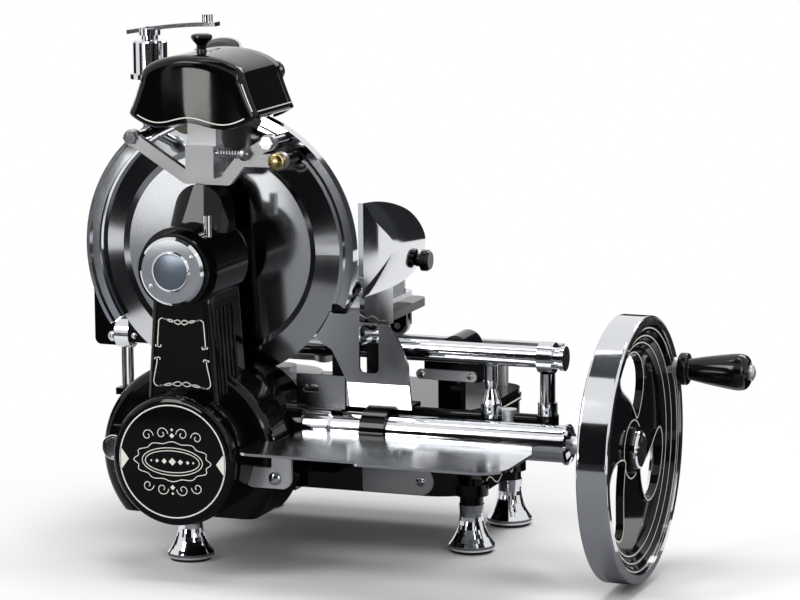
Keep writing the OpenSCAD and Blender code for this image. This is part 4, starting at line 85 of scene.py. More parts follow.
def linear(code):
    """An sRGB hex colour as linear red, green, blue and alpha."""
    parts = [int(code[i:i + 2], 16) / 255 for i in (1, 3, 5)]
    return tuple(c / 12.92 if c <= 0.04045 else ((c + 0.055) / 1.055) ** 2.4 for c in parts) + (1.0,)


def hex_colour(name, description, default):
    """A colour setting, kept as an sRGB hex value."""
    return bpy.props.StringProperty(name=name, description=description, default=default)


def millimetres(name, description, default, low, high):
    """A size setting in millimetres."""
    return bpy.props.FloatProperty(
        name=name, description=description + " in mm", default=default, min=low, max=high)


class SlicerColours(bpy.types.PropertyGroup):
    """Colours of the finishes, written as sRGB hex values"""

    enamel: hex_colour("Enamel", "Black stove enamel", "#060607")
    chrome: hex_colour("Chrome", "Chrome plate", "#d9dbdf")
    steel: hex_colour("Stainless", "Polished stainless steel", "#c6c8cb")
    machined: hex_colour("Machined", "Turned and ground steel", "#a0a2a6")
    brass: hex_colour("Brass", "Polished brass", "#b3a070")
    # The pale line colour also serves as painted highlight on the base's bead and up the hood's front corners.
    line: hex_colour("Line", "Sign writer's pale line", "#dcdad2")
    floor: hex_colour("Floor", "Pale studio floor", "#f2f2f1")


class SlicerSizes(bpy.types.PropertyGroup):
    """Sizes of the painted lines and small fittings"""

    line_w: millimetres("Line width", "Width of a painted line", 1.3, 0.4, 4)
    line_h: millimetres("Line height", "Thickness of the paint of a line", 0.16, 0.05, 0.5)
    ring_r: millimetres("Cover ring", "Radius of the line on the drive cover", 65, 40, 70)
    rosette_r: millimetres("Rosette", "Radius of the ornament on the drive cover", 38, 15, 55)
    knurls: bpy.props.IntProperty(
        name="Knurls", description="Ridges round a knurled knob", default=36, min=12, max=90)


def sizes():
    return bpy.context.scene.slicer_sizes


def colours():
    return bpy.context.scene.slicer_colours


# Materials. Each grain is given in mm. Marks of buffing, brushing, grinding and grit that are finer than the
# render can show are drawn as coarse as they need to show.


def add(tree, kind, links=None, **settings):
    """Adds one node: settings go on the node, links fill its sockets with sockets or plain values."""
    made = tree.nodes.new(kind)
    for key, value in settings.items():
        setattr(made, key, value)
    for key, value in (links or {}).items():
        if isinstance(value, bpy.types.NodeSocket):
            tree.links.new(value, made.inputs[key])
        else:
            made.inputs[key].default_value = value
    return made


CLOUD_SIZE = 90
CLOUD_LOW, CLOUD_HIGH = 0.3, 0.7
GRAIN_STRENGTH = 0.6


def finish(name, colour, metallic, roughness, spread, grain_mm, bump_mm,
           stretch=(1, 1, 1), gloss=0.5, tint=0.06):
    """A surface with grain: colour and roughness drift in clouds, and a fine grain of grain_mm lifts it."""
    if name in bpy.data.materials:
        return bpy.data.materials[name]
    material = bpy.data.materials.new(name)
    material.use_nodes = True
    tree = material.node_tree
    tree.nodes.clear()
    place = add(tree, "ShaderNodeTexCoord").outputs["Object"]
    cloud = add(tree, "ShaderNodeTexNoise", {"Vector": place, "Scale": 1 / (CLOUD_SIZE * MM), "Detail": 5.0})
    stretched = add(tree, "ShaderNodeMapping", {"Vector": place, "Scale": stretch})
    grain = add(tree, "ShaderNodeTexNoise", {
        "Vector": stretched.outputs["Vector"], "Scale": 1 / (grain_mm * MM), "Detail": 4.0, "Roughness": 0.6})
    base = linear(colour)
    shade = tuple(c * (1 - tint) for c in base[:3]) + (1.0,)
    light = tuple(min(1.0, c * (1 + tint)) for c in base[:3]) + (1.0,)
    tone = add(tree, "ShaderNodeMix", {"Factor": cloud.outputs["Fac"]}, data_type="RGBA")
    tone.inputs["A"].default_value = shade
    tone.inputs["B"].default_value = light
    worn = add(tree, "ShaderNodeMapRange", {
        "Value": cloud.outputs["Fac"], "From Min": CLOUD_LOW, "From Max": CLOUD_HIGH,
        "To Min": max(0.0, roughness - spread), "To Max": roughness + spread})
    lift = add(tree, "ShaderNodeBump", {
        "Height": grain.outputs["Fac"], "Strength": GRAIN_STRENGTH, "Distance": bump_mm * MM})
    shader = add(tree, "ShaderNodeBsdfPrincipled", {
        "Base Color": tone.outputs["Result"], "Metallic": metallic, "Roughness": worn.outputs["Result"],
        "Normal": lift.outputs["Normal"], "Specular IOR Level": gloss})
    add(tree, "ShaderNodeOutputMaterial", {"Surface": shader.outputs["BSDF"]})
    return material


def stove_enamel():
    """Cast iron under sprayed and stoved black enamel: deep gloss with a faint orange peel."""
    return finish("stove_enamel", colours().enamel, 0.0, 0.07, 0.03, 7, 0.012, gloss=0.24, tint=0.2)


def chrome_plate():
    """Nickel and chrome over buffed metal: a mirror with a breath of polishing haze."""
    return finish("chrome_plate", colours().chrome, 1.0, 0.07, 0.03, 5, 0.004, tint=0.02)


def polished_stainless():
    """Stainless sheet polished along its length: soft streaked reflections."""
    return finish("polished_stainless", colours().steel, 1.0, 0.15, 0.05, 3, 0.006, (0.06, 1, 1), tint=0.03)


RING_PITCH, WAVE_PERIODS = 2.6, 20
RING_STRENGTH, RING_HIGH = 0.3, 0.006


def ground_blade():
    """Hardened blade steel ground in rings about its axis: fine circles catch the light.

    The real rings are much finer, and are drawn this coarse so that they show.
    """
    material = finish("ground_blade", colours().steel, 1.0, 0.1, 0.03, 2.4, 0.003, tint=0.03)
    tree = material.node_tree
    shader = tree.nodes["Principled BSDF"]
    place = add(tree, "ShaderNodeTexCoord").outputs["Object"]
    centred = add(tree, "ShaderNodeMapping", {"Vector": place, "Location": -BLADE_CENTRE})
    rings = add(tree, "ShaderNodeTexWave", {
        "Vector": centred.outputs["Vector"], "Scale": 1 / (RING_PITCH * MM) / WAVE_PERIODS, "Distortion": 0.6,
        "Detail": 3.0}, wave_type="RINGS", rings_direction="Y")
    lift = add(tree, "ShaderNodeBump", {
        "Height": rings.outputs["Fac"], "Strength": RING_STRENGTH, "Distance": RING_HIGH * MM})
    tree.links.new(lift.outputs["Normal"], shader.inputs["Normal"])
    return material


def machined_steel():
    """Turned and ground steel under a film of oil: grey, with soft highlights."""
    return finish("machined_steel", colours().machined, 1.0, 0.3, 0.07, 1.5, 0.012, tint=0.1)


def polished_brass():
    """Lacquered brass, a little dulled by handling."""
    return finish("polished_brass", colours().brass, 1.0, 0.2, 0.06, 3, 0.008, tint=0.08)


def black_lacquer():
    """Turned grips under thick black lacquer."""
    return finish("black_lacquer", "#060607", 0.0, 0.1, 0.04, 9, 0.02, gloss=0.34, tint=0.2)


def bonded_grit():
    """A bonded abrasive wheel: warm grey grit, drawn at about a millimetre so that it shows."""
    return finish("bonded_grit", "#8a8478", 0.0, 0.85, 0.08, 1.0, 0.25, tint=0.3)


def moulded_rubber():
    """Moulded rubber sole: matt black with a fine tooth. The same finish colours the painted shade in the
    screws' slots.
    """
    return finish("moulded_rubber", "#141416", 0.0, 0.75, 0.08, 1.6, 0.08, tint=0.15)


def spring_wire():
    """Bright drawn spring wire."""
    return finish("spring_wire", "#b9bbbe", 1.0, 0.22, 0.05, 1.2, 0.01, tint=0.06)


def satin_plate():
    """Satin nickel of the blank plate: brushed along its length."""
    return finish("satin_plate", "#a6a7a9", 1.0, 0.36, 0.05, 2.2, 0.015, (0.05, 1, 1), tint=0.05)


def line_paint():
    """Sign writer's enamel of the pale lines: brushed by hand, slightly uneven. The same finish also colours
    the painted highlights along the base's bead and up the hood's front corners.
    """
    return finish("line_paint", colours().line, 0.0, 0.3, 0.08, 4, 0.02, tint=0.08)


def cap_enamel():
    """Vitreous grey blue of the blank centre of the hub cap."""
    return finish("cap_enamel", "#5d6672", 0.55, 0.2, 0.06, 6, 0.01, tint=0.1)


def card_flock(colour):
    """Flocked card of the studio: matt, so that mirrors show it as one even tone."""
    return finish("flock_" + colour[1:], colour, 0.0, 0.95, 0.02, 2, 0.1, gloss=0.05)


def light_card(colour, strength):
    """A light card of the studio: an even glow that only mirrors see."""
    material = bpy.data.materials.new("light_card")
    material.use_nodes = True
    tree = material.node_tree
    tree.nodes.clear()
    glow = add(tree, "ShaderNodeEmission", {"Color": linear(colour), "Strength": strength})
    add(tree, "ShaderNodeOutputMaterial", {"Surface": glow.outputs[0]})
    return material


SLOT_FINISHES = {
    "black_enamel": stove_enamel,
    "mirror_chrome": chrome_plate,
    "polished_steel": polished_stainless,
    "machined_steel": machined_steel,
    "brass": polished_brass,
    "black_grip": black_lacquer,
    "grindstone": bonded_grit,
    "rubber": moulded_rubber,
    "spring_steel": spring_wire,
}
NODE_FINISHES = {"blade": ground_blade, "data_plate": satin_plate, "wishbone": satin_plate}


# Mesh helpers


def piece(name, verts, faces, material, body, smooth_angle=35):
    """Makes a mesh piece, shades it and lets it ride a body of the machine."""
    mesh = bpy.data.meshes.new(name)
    mesh.from_pydata([tuple(v) for v in verts], [], faces)
    mesh.validate()
    mesh.update()
    made = bpy.data.objects.new(name, mesh)
    bpy.context.scene.collection.objects.link(made)
    mesh.materials.append(material)
    mesh.polygons.foreach_set("use_smooth", [True] * len(mesh.polygons))
    mesh.set_sharp_from_angle(angle=math.radians(smooth_angle))
    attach(made, body)
    return made


def ribbon(points, out, width, height, closed):
    """Vertices and faces of a raised line along points, on a face that looks along out."""
    count = len(points)
    verts, faces = [], []
    for i, at in enumerate(points):
        before = points[i - 1] if i or closed else points[0]
        after = points[(i + 1) % count] if i < count - 1 or closed else points[-1]
        normal = out[i] if isinstance(out, list) else out
        side = (after - before).cross(normal).normalized() * (width / 2)
        for across, up in ((-1, -1), (-1, 1), (1, 1), (1, -1)):
            verts.append(at + side * across + normal * (height * up))
    for i in range(count if closed else count - 1):
        a, b = 4 * i, 4 * ((i + 1) % count)
        for k in range(4):
            faces.append((a + k, a + (k + 1) % 4, b + (k + 1) % 4, b + k))
    if not closed:
        last = 4 * (count - 1)
        faces += [(3, 2, 1, 0), (last, last + 1, last + 2, last + 3)]
    return verts, faces


def lines(name, strokes, body, width=None, height=None, material=None):
    """One piece of several strokes: each is its points, its face's direction and whether it closes."""
    width, height = width or sizes().line_w, height or sizes().line_h
    verts, faces = [], []
    for points, out, closed in strokes:
        v, f = ribbon(points, out, width * MM, height * MM, closed)
        faces += [tuple(k + len(verts) for k in face) for face in f]
        verts += v
    return piece(name, verts, faces, material or line_paint(), body)


def turned(name, profile, centre, axis, material, body, steps=96, ridge=0.0, ridges=0):
    """A lathe piece: profile is radius and height pairs in mm along axis from centre; ridges knurl its rim."""
    axis = axis.normalized()
    side = axis.orthogonal().normalized()
    other = axis.cross(side)
    steps = 2 * ridges if ridges else steps
    verts, faces = [], []
    for radius, height in profile:
        for k in range(steps):
            a = 2 * math.pi * k / steps
            r = (radius - (ridge if k % 2 and radius > 0 else 0)) * MM
            verts.append(centre + axis * (height * MM) + side * (r * math.cos(a)) + other * (r * math.sin(a)))
    for i in range(len(profile) - 1):
        for k in range(steps):
            a, b = i * steps, (i + 1) * steps
            faces.append((a + k, a + (k + 1) % steps, b + (k + 1) % steps, b + k))
    faces.append(tuple(reversed(range(steps))))
    faces.append(tuple(range((len(profile) - 1) * steps, len(profile) * steps)))
    return piece(name, verts, faces, material, body)


def smooth_profile(points, steps=6):
    """Radius and height pairs of a smooth curve through the given pairs."""
    out = []
    for i in range(len(points) - 1):
        p0, p1, p2, p3 = (points[max(0, min(len(points) - 1, i + k))] for k in (-1, 0, 1, 2))
        for s in range(steps):
            t = s / steps
            out.append(tuple(0.5 * (2 * b + (c - a) * t + (2 * a - 5 * b + 4 * c - d) * t * t
                                    + (3 * b - a - 3 * c + d) * t ** 3) for a, b, c, d in zip(p0, p1, p2, p3)))
    return out + [points[-1]]


def circle(centre, radius, one, two, count=96, start=0.0, sweep=360.0):
    """Points of a circle or arc about centre, in the plane of the directions one and two."""
    full = sweep >= 360
    return [centre + (one * math.cos(a) + two * math.sin(a)) * (radius * MM)
            for a in (math.radians(start + sweep * k / (count if full else count - 1)) for k in range(count))]


def curl(centre, big, small, start, sweep, one=RIGHT, two=UP, count=22):
    """A scroll that winds from radius big to small about centre."""
    made = []
    for k in range(count):
        t = k / (count - 1)
        a = math.radians(start + sweep * t)
        made.append(centre + (one * math.cos(a) + two * math.sin(a)) * ((big + (small - big) * t) * MM))
    return made


# Operators


class SLICER_OT_finishes(bpy.types.Operator):
    """Give every casting, bar, plate and fitting its finish"""

    bl_idname = "slicer.finishes"
    bl_label = "Finishes"

    def execute(self, context):
        slots = {s["node"]: s["material_slot"] for s in frame["record"]["subparts"]}
        for name, node in frame["nodes"].items():
            node.data.materials.clear()
            node.data.materials.append(NODE_FINISHES.get(name, SLOT_FINISHES[slots[name]])())
        return {"FINISHED"}


class SLICER_OT_cover_lines(bpy.types.Operator):
    """Paint the ring, arrow points and rosette on the drive cover"""

    bl_idname = "slicer.cover_lines"
    bl_label = "Cover lines"

    # half widths and heights as shares of the rosette's radius
    OVALS = ((0.98, 0.42), (0.88, 0.33))
    FRAME_W, FRAME_H, LOBES, LOBE_DEEP = 1.2, 0.58, 12, 0.05
    # place and first radius of the scrolls of one quarter, and how far each winds in degrees
    SCROLLS, SWEEP = ((0.33, 0.84, 0.2), (0.8, 0.76, 0.19)), 420
    # a scroll's first radius over its last
    WOUND = 5
    WEDGE_HALF, WEDGE_DEEP = 11.5, 11
    RING_W, ROSETTE_W = 1.5, 0.9
    # place along and across the rosette in mm, and half size, of each diamond
    DIAMONDS = (
        (0, 0, 4.5), (10, 0, 3.2), (-10, 0, 3.2), (19, 0, 2.2), (-19, 0, 2.2), (26, 0, 1.4), (-26, 0, 1.4),
        (0, 30, 3), (0, -30, 3), (0, 37, 1.8), (0, -37, 1.8),
    )

    def rosette(self, centre, r):
        def path(points):
            return [centre + (RIGHT * x + UP * z) * (r * MM) for x, z in points]

        turns = [math.radians(3 * k) for k in range(120)]
        strokes = [(path([(w * math.cos(a), h * math.sin(a)) for a in turns]), FRONT, True)
                   for w, h in self.OVALS]
        lobed = [1 + self.LOBE_DEEP * math.cos(self.LOBES * a) for a in turns]
        strokes.append((path([(self.FRAME_W * d * math.cos(a), self.FRAME_H * d * math.sin(a))
                              for d, a in zip(lobed, turns)]), FRONT, True))
        for s in (-1, 1):
            for t in (-1, 1):
                for x, z, big in self.SCROLLS:
                    eye = centre + (RIGHT * (x * s) + UP * (z * t)) * (r * MM)
                    scroll = curl(eye, big * r, big * r / self.WOUND, 90 + 90 * s, -self.SWEEP * s * t,
                                  count=40)
                    strokes.append((scroll, FRONT, False))
        return strokes

    def patches(self, ring):
        made = []
        for s in (-1, 1):
            arc = [math.radians(self.WEDGE_HALF * k / 4) * s for k in range(-4, 5)]
            made.append([(s * (ring - self.WEDGE_DEEP), 0)]
                        + [(s * ring * math.cos(a), ring * math.sin(a)) for a in arc])
        for x, z, half in self.DIAMONDS:
            made.append([(x + half, z), (x, z + half), (x - half, z), (x, z - half)])
        return made

    def execute(self, context):
        low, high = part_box("drive_cover")
        centre = Vector(((low.x + high.x) / 2, low.y, (low.z + high.z) / 2))
        ring = circle(centre, sizes().ring_r, RIGHT, UP)
        lines("cover_ring", [(ring, FRONT, True)], "frame", self.RING_W)
        lines("cover_rosette", self.rosette(centre, sizes().rosette_r), "frame", self.ROSETTE_W)
        verts, faces = [], []
        for outline in self.patches(sizes().ring_r):
            at, count = len(verts), len(outline)
            for lift in (0, sizes().line_h):
                verts += [centre + (RIGHT * x + UP * z + FRONT * lift) * MM for x, z in outline]
            faces.append(tuple(at + count + k for k in range(count)))
            faces.append(tuple(at + k for k in reversed(range(count))))
            faces += [(at + k, at + (k + 1) % count, at + count + (k + 1) % count, at + count + k)
                      for k in range(count)]
        piece("cover_points", verts, faces, line_paint(), "frame")
        return {"FINISHED"}


class SLICER_OT_pillar_lines(bpy.types.Operator):
    """Paint the scrolled panel on the pillar and the arch above the hub"""

    bl_idname = "slicer.pillar_lines"
    bl_label = "Pillar lines"

    PANEL_FRONT = -114
    # the arch lies under the pillar's sloped upper face, so the casting covers most of it
    ARCH_FRONT, ARCH_CENTRE, ARCH_R, ARCH_START, ARCH_SWEEP = -58, 54, 24, -12, 204
    # each frame: half width and height at its corner, then where its side ends, and the side it closes
    FRAMES = ((28, -63, 29.5, -96, 1), (35, -142, 31, -109, -1))
    BRAIDS, BRAID_HIGH, BRAID_FADE, DIP = 2.5, 3.2, 1.2, 4
    # how far the corner cuts in, and the points that round it, in along the width and down the side
    CORNER, SHOULDER, ROUNDED, RUN_OUT = 5, (1, 2), 8, 6
    LINE_W = 1.1
    # side and first radius of the two curls that end each side line
    TAILS = ((1, 1.7), (-1, 2.8))
    TAIL_RISE, TAIL_END, TAIL_SWEEP = 1.5, 0.8, 220

    def frame_strokes(self, half, corner, end_half, end, way):
        front = self.PANEL_FRONT
        strokes = []
        for s in (-1, 1):
            side = [((half - self.CORNER) * s, corner),
                    ((half - self.SHOULDER[0]) * s, corner - self.SHOULDER[1] * way),
                    (half * s, corner - self.ROUNDED * way),
                    (end_half * s, end + self.RUN_OUT * way), (end_half * s, end)]
            path = [spot(x, front, z) for x, z in smooth_profile(side)]
            strokes.append((path, FRONT, False))
            for hand, big in self.TAILS:
                tail = spot((end_half + hand * big) * s, front, end + way * self.TAIL_RISE)
                wind = curl(tail, big, self.TAIL_END, 90 + 90 * s * hand, self.TAIL_SWEEP * s * hand * way)
                strokes.append((wind, FRONT, False))
            reach = half - self.CORNER
            braid = []
            for t in (k / 30 - 1 for k in range(61)):
                dip = way * self.DIP * math.cos(math.pi / 2 * t)
                faded = (1 - abs(t)) ** self.BRAID_FADE
                twist = self.BRAID_HIGH * s * math.sin(self.BRAIDS * math.pi * t) * faded
                braid.append((reach * t, corner - dip + twist))
            strokes.append(([spot(x, front, z) for x, z in braid], FRONT, False))
        return strokes

    def execute(self, context):
        strokes = [stroke for f in self.FRAMES for stroke in self.frame_strokes(*f)]
        arch = circle(spot(0, self.ARCH_FRONT, self.ARCH_CENTRE), self.ARCH_R, RIGHT, UP, 40,
                      self.ARCH_START, self.ARCH_SWEEP)
        strokes.append((arch, FRONT, False))
        lines("pillar_panel", strokes, "frame", self.LINE_W)
        return {"FINISHED"}


class HoodShape:
    """The hood's curved front and sides, a little proud of its casting, in mm from the blade's centre"""

    FOOT_HALF, SHOULDER_HALF = 79, 62
    SHOULDER_Z, CROWN_Z, FOOT_Z = 207, 232, 150
    EDGE_Z = (165, 150, 157)
    DIP_X = 40
    FRONT_Y, BACK_Y = -75.8, 36
    ROUND, PROUD, BOW, BOW_PAST = 9, 1, 8, 2

    def edge(self, x):
        u = abs(x)
        corner, dip, middle = self.EDGE_Z
        if u > self.DIP_X:
            part = min(1, (u - self.DIP_X) / (self.FOOT_HALF - self.DIP_X))
            return dip + (corner - dip) * (1 - math.cos(math.pi / 2 * part))
        return dip + (middle - dip) * (1 + math.cos(math.pi * u / self.DIP_X)) / 2

    def bow(self, x):
        return self.BOW * math.cos(math.pi / 2 * min(1, abs(x) / (self.FOOT_HALF + self.BOW_PAST)))

    def outline(self, inset):
        foot, top = self.FOOT_HALF - inset, self.SHOULDER_HALF - inset
        shoulder = self.SHOULDER_Z - inset
        rise = self.CROWN_Z - self.SHOULDER_Z
        side = [(foot + (top - foot) * t, self.FOOT_Z + (shoulder - self.FOOT_Z) * t)
                for t in (k / 10 for k in range(10))]
        arc = [(top * math.cos(a), shoulder + rise * math.sin(a))
               for a in (math.pi * k / 48 for k in range(49))]
        return side + arc + [(-x, z) for x, z in reversed(side)]

    def lifted(self, x, z):
        return z + (self.edge(x) - self.FOOT_Z) * (1 - (z - self.FOOT_Z) / (self.CROWN_Z - self.FOOT_Z))

    def ring(self, inset, scale, y, bowed):
        return [spot(x * scale, y - self.bow(x * scale) * bowed,
                     self.lifted(x * scale, self.FOOT_Z + (z - self.FOOT_Z) * scale))
                for x, z in self.outline(inset)]


class SLICER_OT_hood_sheet(HoodShape, bpy.types.Operator):
    """Form the hood's crowned front and rounded sides over its casting"""

    bl_idname = "slicer.hood_sheet"
    bl_label = "Hood sheet"

    SHEET = 0.7
    # the size of each ring of the face's mesh, as a share of its outline, then how many rings go round the
    # edge and along the side
    FACE_SHARES = (0.02, 0.2, 0.4, 0.6, 0.8, 0.92, 1)
    EDGE_RINGS, SIDE_RINGS = 8, 8

    def execute(self, context):
        face_inset = self.ROUND - self.PROUD
        rings = [self.ring(face_inset, share, self.FRONT_Y, 1) for share in self.FACE_SHARES]
        for k in range(1, self.EDGE_RINGS + 1):
            a = math.pi / 2 * k / self.EDGE_RINGS
            rings.append(self.ring(self.ROUND * (1 - math.sin(a)) - self.PROUD, 1,
                                   self.FRONT_Y + self.ROUND * (1 - math.cos(a)), math.cos(a)))
        start = self.FRONT_Y + self.ROUND
        rings += [self.ring(-self.PROUD, 1, start + (self.BACK_Y - start) * t / self.SIDE_RINGS, 0)
                  for t in range(1, self.SIDE_RINGS + 1)]
        across = len(rings[0])
        verts = [v for ring in rings for v in ring]
        faces = [(i * across + k, i * across + k + 1, (i + 1) * across + k + 1, (i + 1) * across + k)
                 for i in range(len(rings) - 1) for k in range(across - 1)]
        faces.append(tuple(range(across)))
        sheet = piece("hood_crowned_sheet", verts, [tuple(reversed(f)) for f in faces], stove_enamel(),
                      "hood_group", 40)
        wall = sheet.modifiers.new("sheet_thickness", "SOLIDIFY")
        wall.thickness, wall.offset = self.SHEET * MM, -1
        return {"FINISHED"}


class SLICER_OT_hood_lines(HoodShape, bpy.types.Operator):
    """Paint the line above the hood's wavy lower edge, and a painted highlight up its front corners as a pale
    line on their rounding
    """

    bl_idname = "slicer.hood_lines"
    bl_label = "Hood lines"

    REACH, RISE, PAINT = 66, 6, 0.1
    SIDE_LEAN = 2.2
    # the part of the side outline that the painted highlight up each front corner runs along
    CORNER_FIRST, CORNER_LAST = 2, 10

    def execute(self, context):
        front = []
        for k in range(61):
            x = self.REACH * (k / 30 - 1)
            front.append(spot(x, self.FRONT_Y - self.bow(x) - self.PAINT, self.edge(x) + self.RISE))
        strokes = [(front, FRONT, False)]
        inset = self.ROUND * (1 - math.sin(math.pi / 4)) - self.PROUD
        y = self.FRONT_Y + self.ROUND * (1 - math.cos(math.pi / 4))
        start = self.FRONT_Y + self.ROUND
        for s in (-1, 1):
            x = (self.FOOT_HALF + self.PROUD + self.PAINT) * s
            side = [spot(x - s * self.SIDE_LEAN, start + (self.BACK_Y - start) * k / 8,
                         self.EDGE_Z[0] + self.RISE) for k in range(9)]
            strokes.append((side, RIGHT * s, False))
            # Up each front corner a pale line lies on the rounding: a painted highlight, standing for the light
            # caught along the corner's edge.
            corner = []
            for px, pz in self.outline(inset)[self.CORNER_FIRST:self.CORNER_LAST]:
                corner.append(spot(s * (px + self.PAINT), y - self.bow(px) * math.cos(math.pi / 4) - self.PAINT,
                                   self.lifted(px, pz)))
            strokes.append((corner, (RIGHT * s + FRONT).normalized(), False))
        lines("hood_edge_line", strokes, "hood_group")
        return {"FINISHED"}


class SLICER_OT_base_line(bpy.types.Operator):
    """Paint a painted highlight along the base casting's top bead as a pale line, and the scroll on its
    right-hand side
    """

    bl_idname = "slicer.base_line"
    bl_label = "Base line"

    BEAD_X, BEAD_Y, BEAD_Z = (-102, 280), (90, 291.8), -206.5
    BEAD_W, CORNERS = 2.0, (32, 62, 32, 32)
    SIDE_X, SCROLL_Y, SCROLL_Z, SCROLL_HIGH = 278, (134, 228), -288, 6
    HALF_WAVES, EYE_R, EYE_SWEEP = 3, 1.5, 400

    def execute(self, context):
        x, y = self.BEAD_X, self.BEAD_Y
        centres = [(x[0], y[0], 1, 1, 180), (x[1], y[0], -1, 1, 270),
                   (x[1], y[1], -1, -1, 0), (x[0], y[1], 1, -1, 90)]
        points, normals = [], []
        for (cx, cy, sx, sy, start), r in zip(centres, self.CORNERS):
            for k in range(13):
                a = math.radians(start + 90 * k / 12)
                normals.append(Vector((math.cos(a), math.sin(a), 0)))
                points.append(spot(cx + sx * r, cy + sy * r, self.BEAD_Z) + normals[-1] * (r * MM))
        # The pale line along the bead is a painted highlight: the light caught along the bead's rounded top,
        # laid on as a strip of pale paint.
        lines("base_bead_line", [(points, normals, True)], "frame", self.BEAD_W)
        first, last = self.SCROLL_Y
        wave = [spot(self.SIDE_X, first + (last - first) * k / 48,
                     self.SCROLL_Z + self.SCROLL_HIGH * math.sin(self.HALF_WAVES * math.pi * k / 48))
                for k in range(49)]
        strokes = [(wave, RIGHT, False)]
        for y, way in ((first, -1), (last, 1)):
            eye = spot(self.SIDE_X, y, self.SCROLL_Z) + BACK * (way * self.SCROLL_HIGH * MM)
            wind = curl(eye, self.SCROLL_HIGH, self.EYE_R, 90 + 90 * way, self.EYE_SWEEP, BACK, UP, 36)
            strokes.append((wind, RIGHT, False))
        lines("base_side_scroll", strokes, "frame")
        return {"FINISHED"}


class SLICER_OT_wheel_lines(bpy.types.Operator):
    """Paint the rings in the flywheel's dish and the outlines of its openings"""

    bl_idname = "slicer.wheel_lines"
    bl_label = "Flywheel lines"

    AXIS_Y, AXIS_Z = 10, -205
    # radius and place along the axis of each ring
    RINGS = ((137.5, 509), (128.5, 505), (120.5, 501), (33, 497))
    WINDOWS, MID_R, HALF_L, HALF_A, TWIST = 3, 75, 38, 33, 15
    # an opening's angle at its inner end, and what it gains on the way out, as shares of the widest
    INNER_SHARE, GAIN_SHARE = 0.55, 0.45
    FACE_X, MARGIN, LINE_W = 499, 1.5, 1.5

    def opening(self, first, widen):
        points = []
        for k in range(72):
            t = math.radians(5 * k)
            r = self.MID_R + (self.HALF_L + widen) * math.sin(t)
            share = self.INNER_SHARE + self.GAIN_SHARE * (r - self.MID_R + self.HALF_L) / (2 * self.HALF_L)
            a = math.radians(first + self.TWIST * math.sin(t)
                             + (self.HALF_A * share + math.degrees(widen / r)) * math.cos(t))
            points.append((r * math.cos(a), r * math.sin(a)))
        return points

    def execute(self, context):
        strokes = [(circle(spot(x, self.AXIS_Y, self.AXIS_Z), r, BACK, UP, 144), RIGHT, True)
                   for r, x in self.RINGS]
        for i in range(self.WINDOWS):
            outline = [spot(self.FACE_X, self.AXIS_Y + y, self.AXIS_Z + z)
                       for y, z in self.opening(90 + 360 / self.WINDOWS * i, self.MARGIN)]
            strokes.append((outline, RIGHT, True))
        lines("flywheel_rings_and_outlines", strokes, "flywheel", self.LINE_W)
        return {"FINISHED"}


class SLICER_OT_hub_disc(bpy.types.Operator):
    """Set the blank enamelled disc and its turned ring into the hub cap"""

    bl_idname = "slicer.hub_disc"
    bl_label = "Hub disc"

    # radius in mm, and height in mm above the cap's face
    DISC = ((0.01, -1), (20.4, -1), (20.4, 0.25), (18, 0.5), (0.01, 0.9))
    RIM = ((20.5, -1), (22, -1), (22, 0.5), (21.2, 1.0), (20.5, 0.5), (20.5, -1))

    def execute(self, context):
        low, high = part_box("hub_cover")
        centre = Vector(((low.x + high.x) / 2, low.y, (low.z + high.z) / 2))
        turned("hub_blank_disc", self.DISC, centre, FRONT, cap_enamel(), "frame")
        turned("hub_disc_rim", self.RIM, centre, FRONT, chrome_plate(), "frame")
        return {"FINISHED"}


class SLICER_OT_grips(bpy.types.Operator):
    """Turn the crank handle's grip as one smooth curve, and knurl the brass knob"""

    bl_idname = "slicer.grips"
    bl_label = "Grips and knobs"

    # radius in mm and share of the length
    GRIP = ((13, 0), (17.8, 0.015), (18.5, 0.04), (18.5, 0.1), (17.6, 0.13), (12.9, 0.16), (12.9, 0.2),
            (15.2, 0.34), (17.3, 0.49), (19.2, 0.64), (20.7, 0.77), (21, 0.86), (19.2, 0.94), (15, 0.985),
            (10, 1))
    # the brass knob's rim: bevel at the back, then how far from its outer end the rounding starts and steps
    BEVEL, ROUND_FROM, ROUND_STEP, FACE_IN = 1, 1.4, 0.4, 2
    KNURL_DEEP, NO_RADIUS = 0.45, 0.01

    def execute(self, context):
        low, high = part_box("handle_grip")
        centre = Vector((low.x, (low.y + high.y) / 2, (low.z + high.z) / 2))
        length = (high.x - low.x) / MM
        profile = smooth_profile([(r, length * s) for r, s in self.GRIP])
        grip = turned("turned_grip", profile, centre, RIGHT, black_lacquer(), "grip")
        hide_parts("handle_grip")
        low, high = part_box("brass_knob")
        centre = Vector(((low.x + high.x) / 2, high.y, (low.z + high.z) / 2))
        long, r = (high.y - low.y) / MM, (high.x - low.x) / MM / 2
        shape = [(r - self.BEVEL, 0), (r, self.BEVEL), (r, long - self.ROUND_FROM),
                 (r - self.BEVEL, long - self.ROUND_STEP), (r - self.FACE_IN, long), (self.NO_RADIUS, long)]
        knob = turned("knurled_brass_knob", shape, centre, FRONT, polished_brass(), "brass",
                      ridge=self.KNURL_DEEP, ridges=sizes().knurls)
        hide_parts("brass_knob")
        return {"FINISHED"}


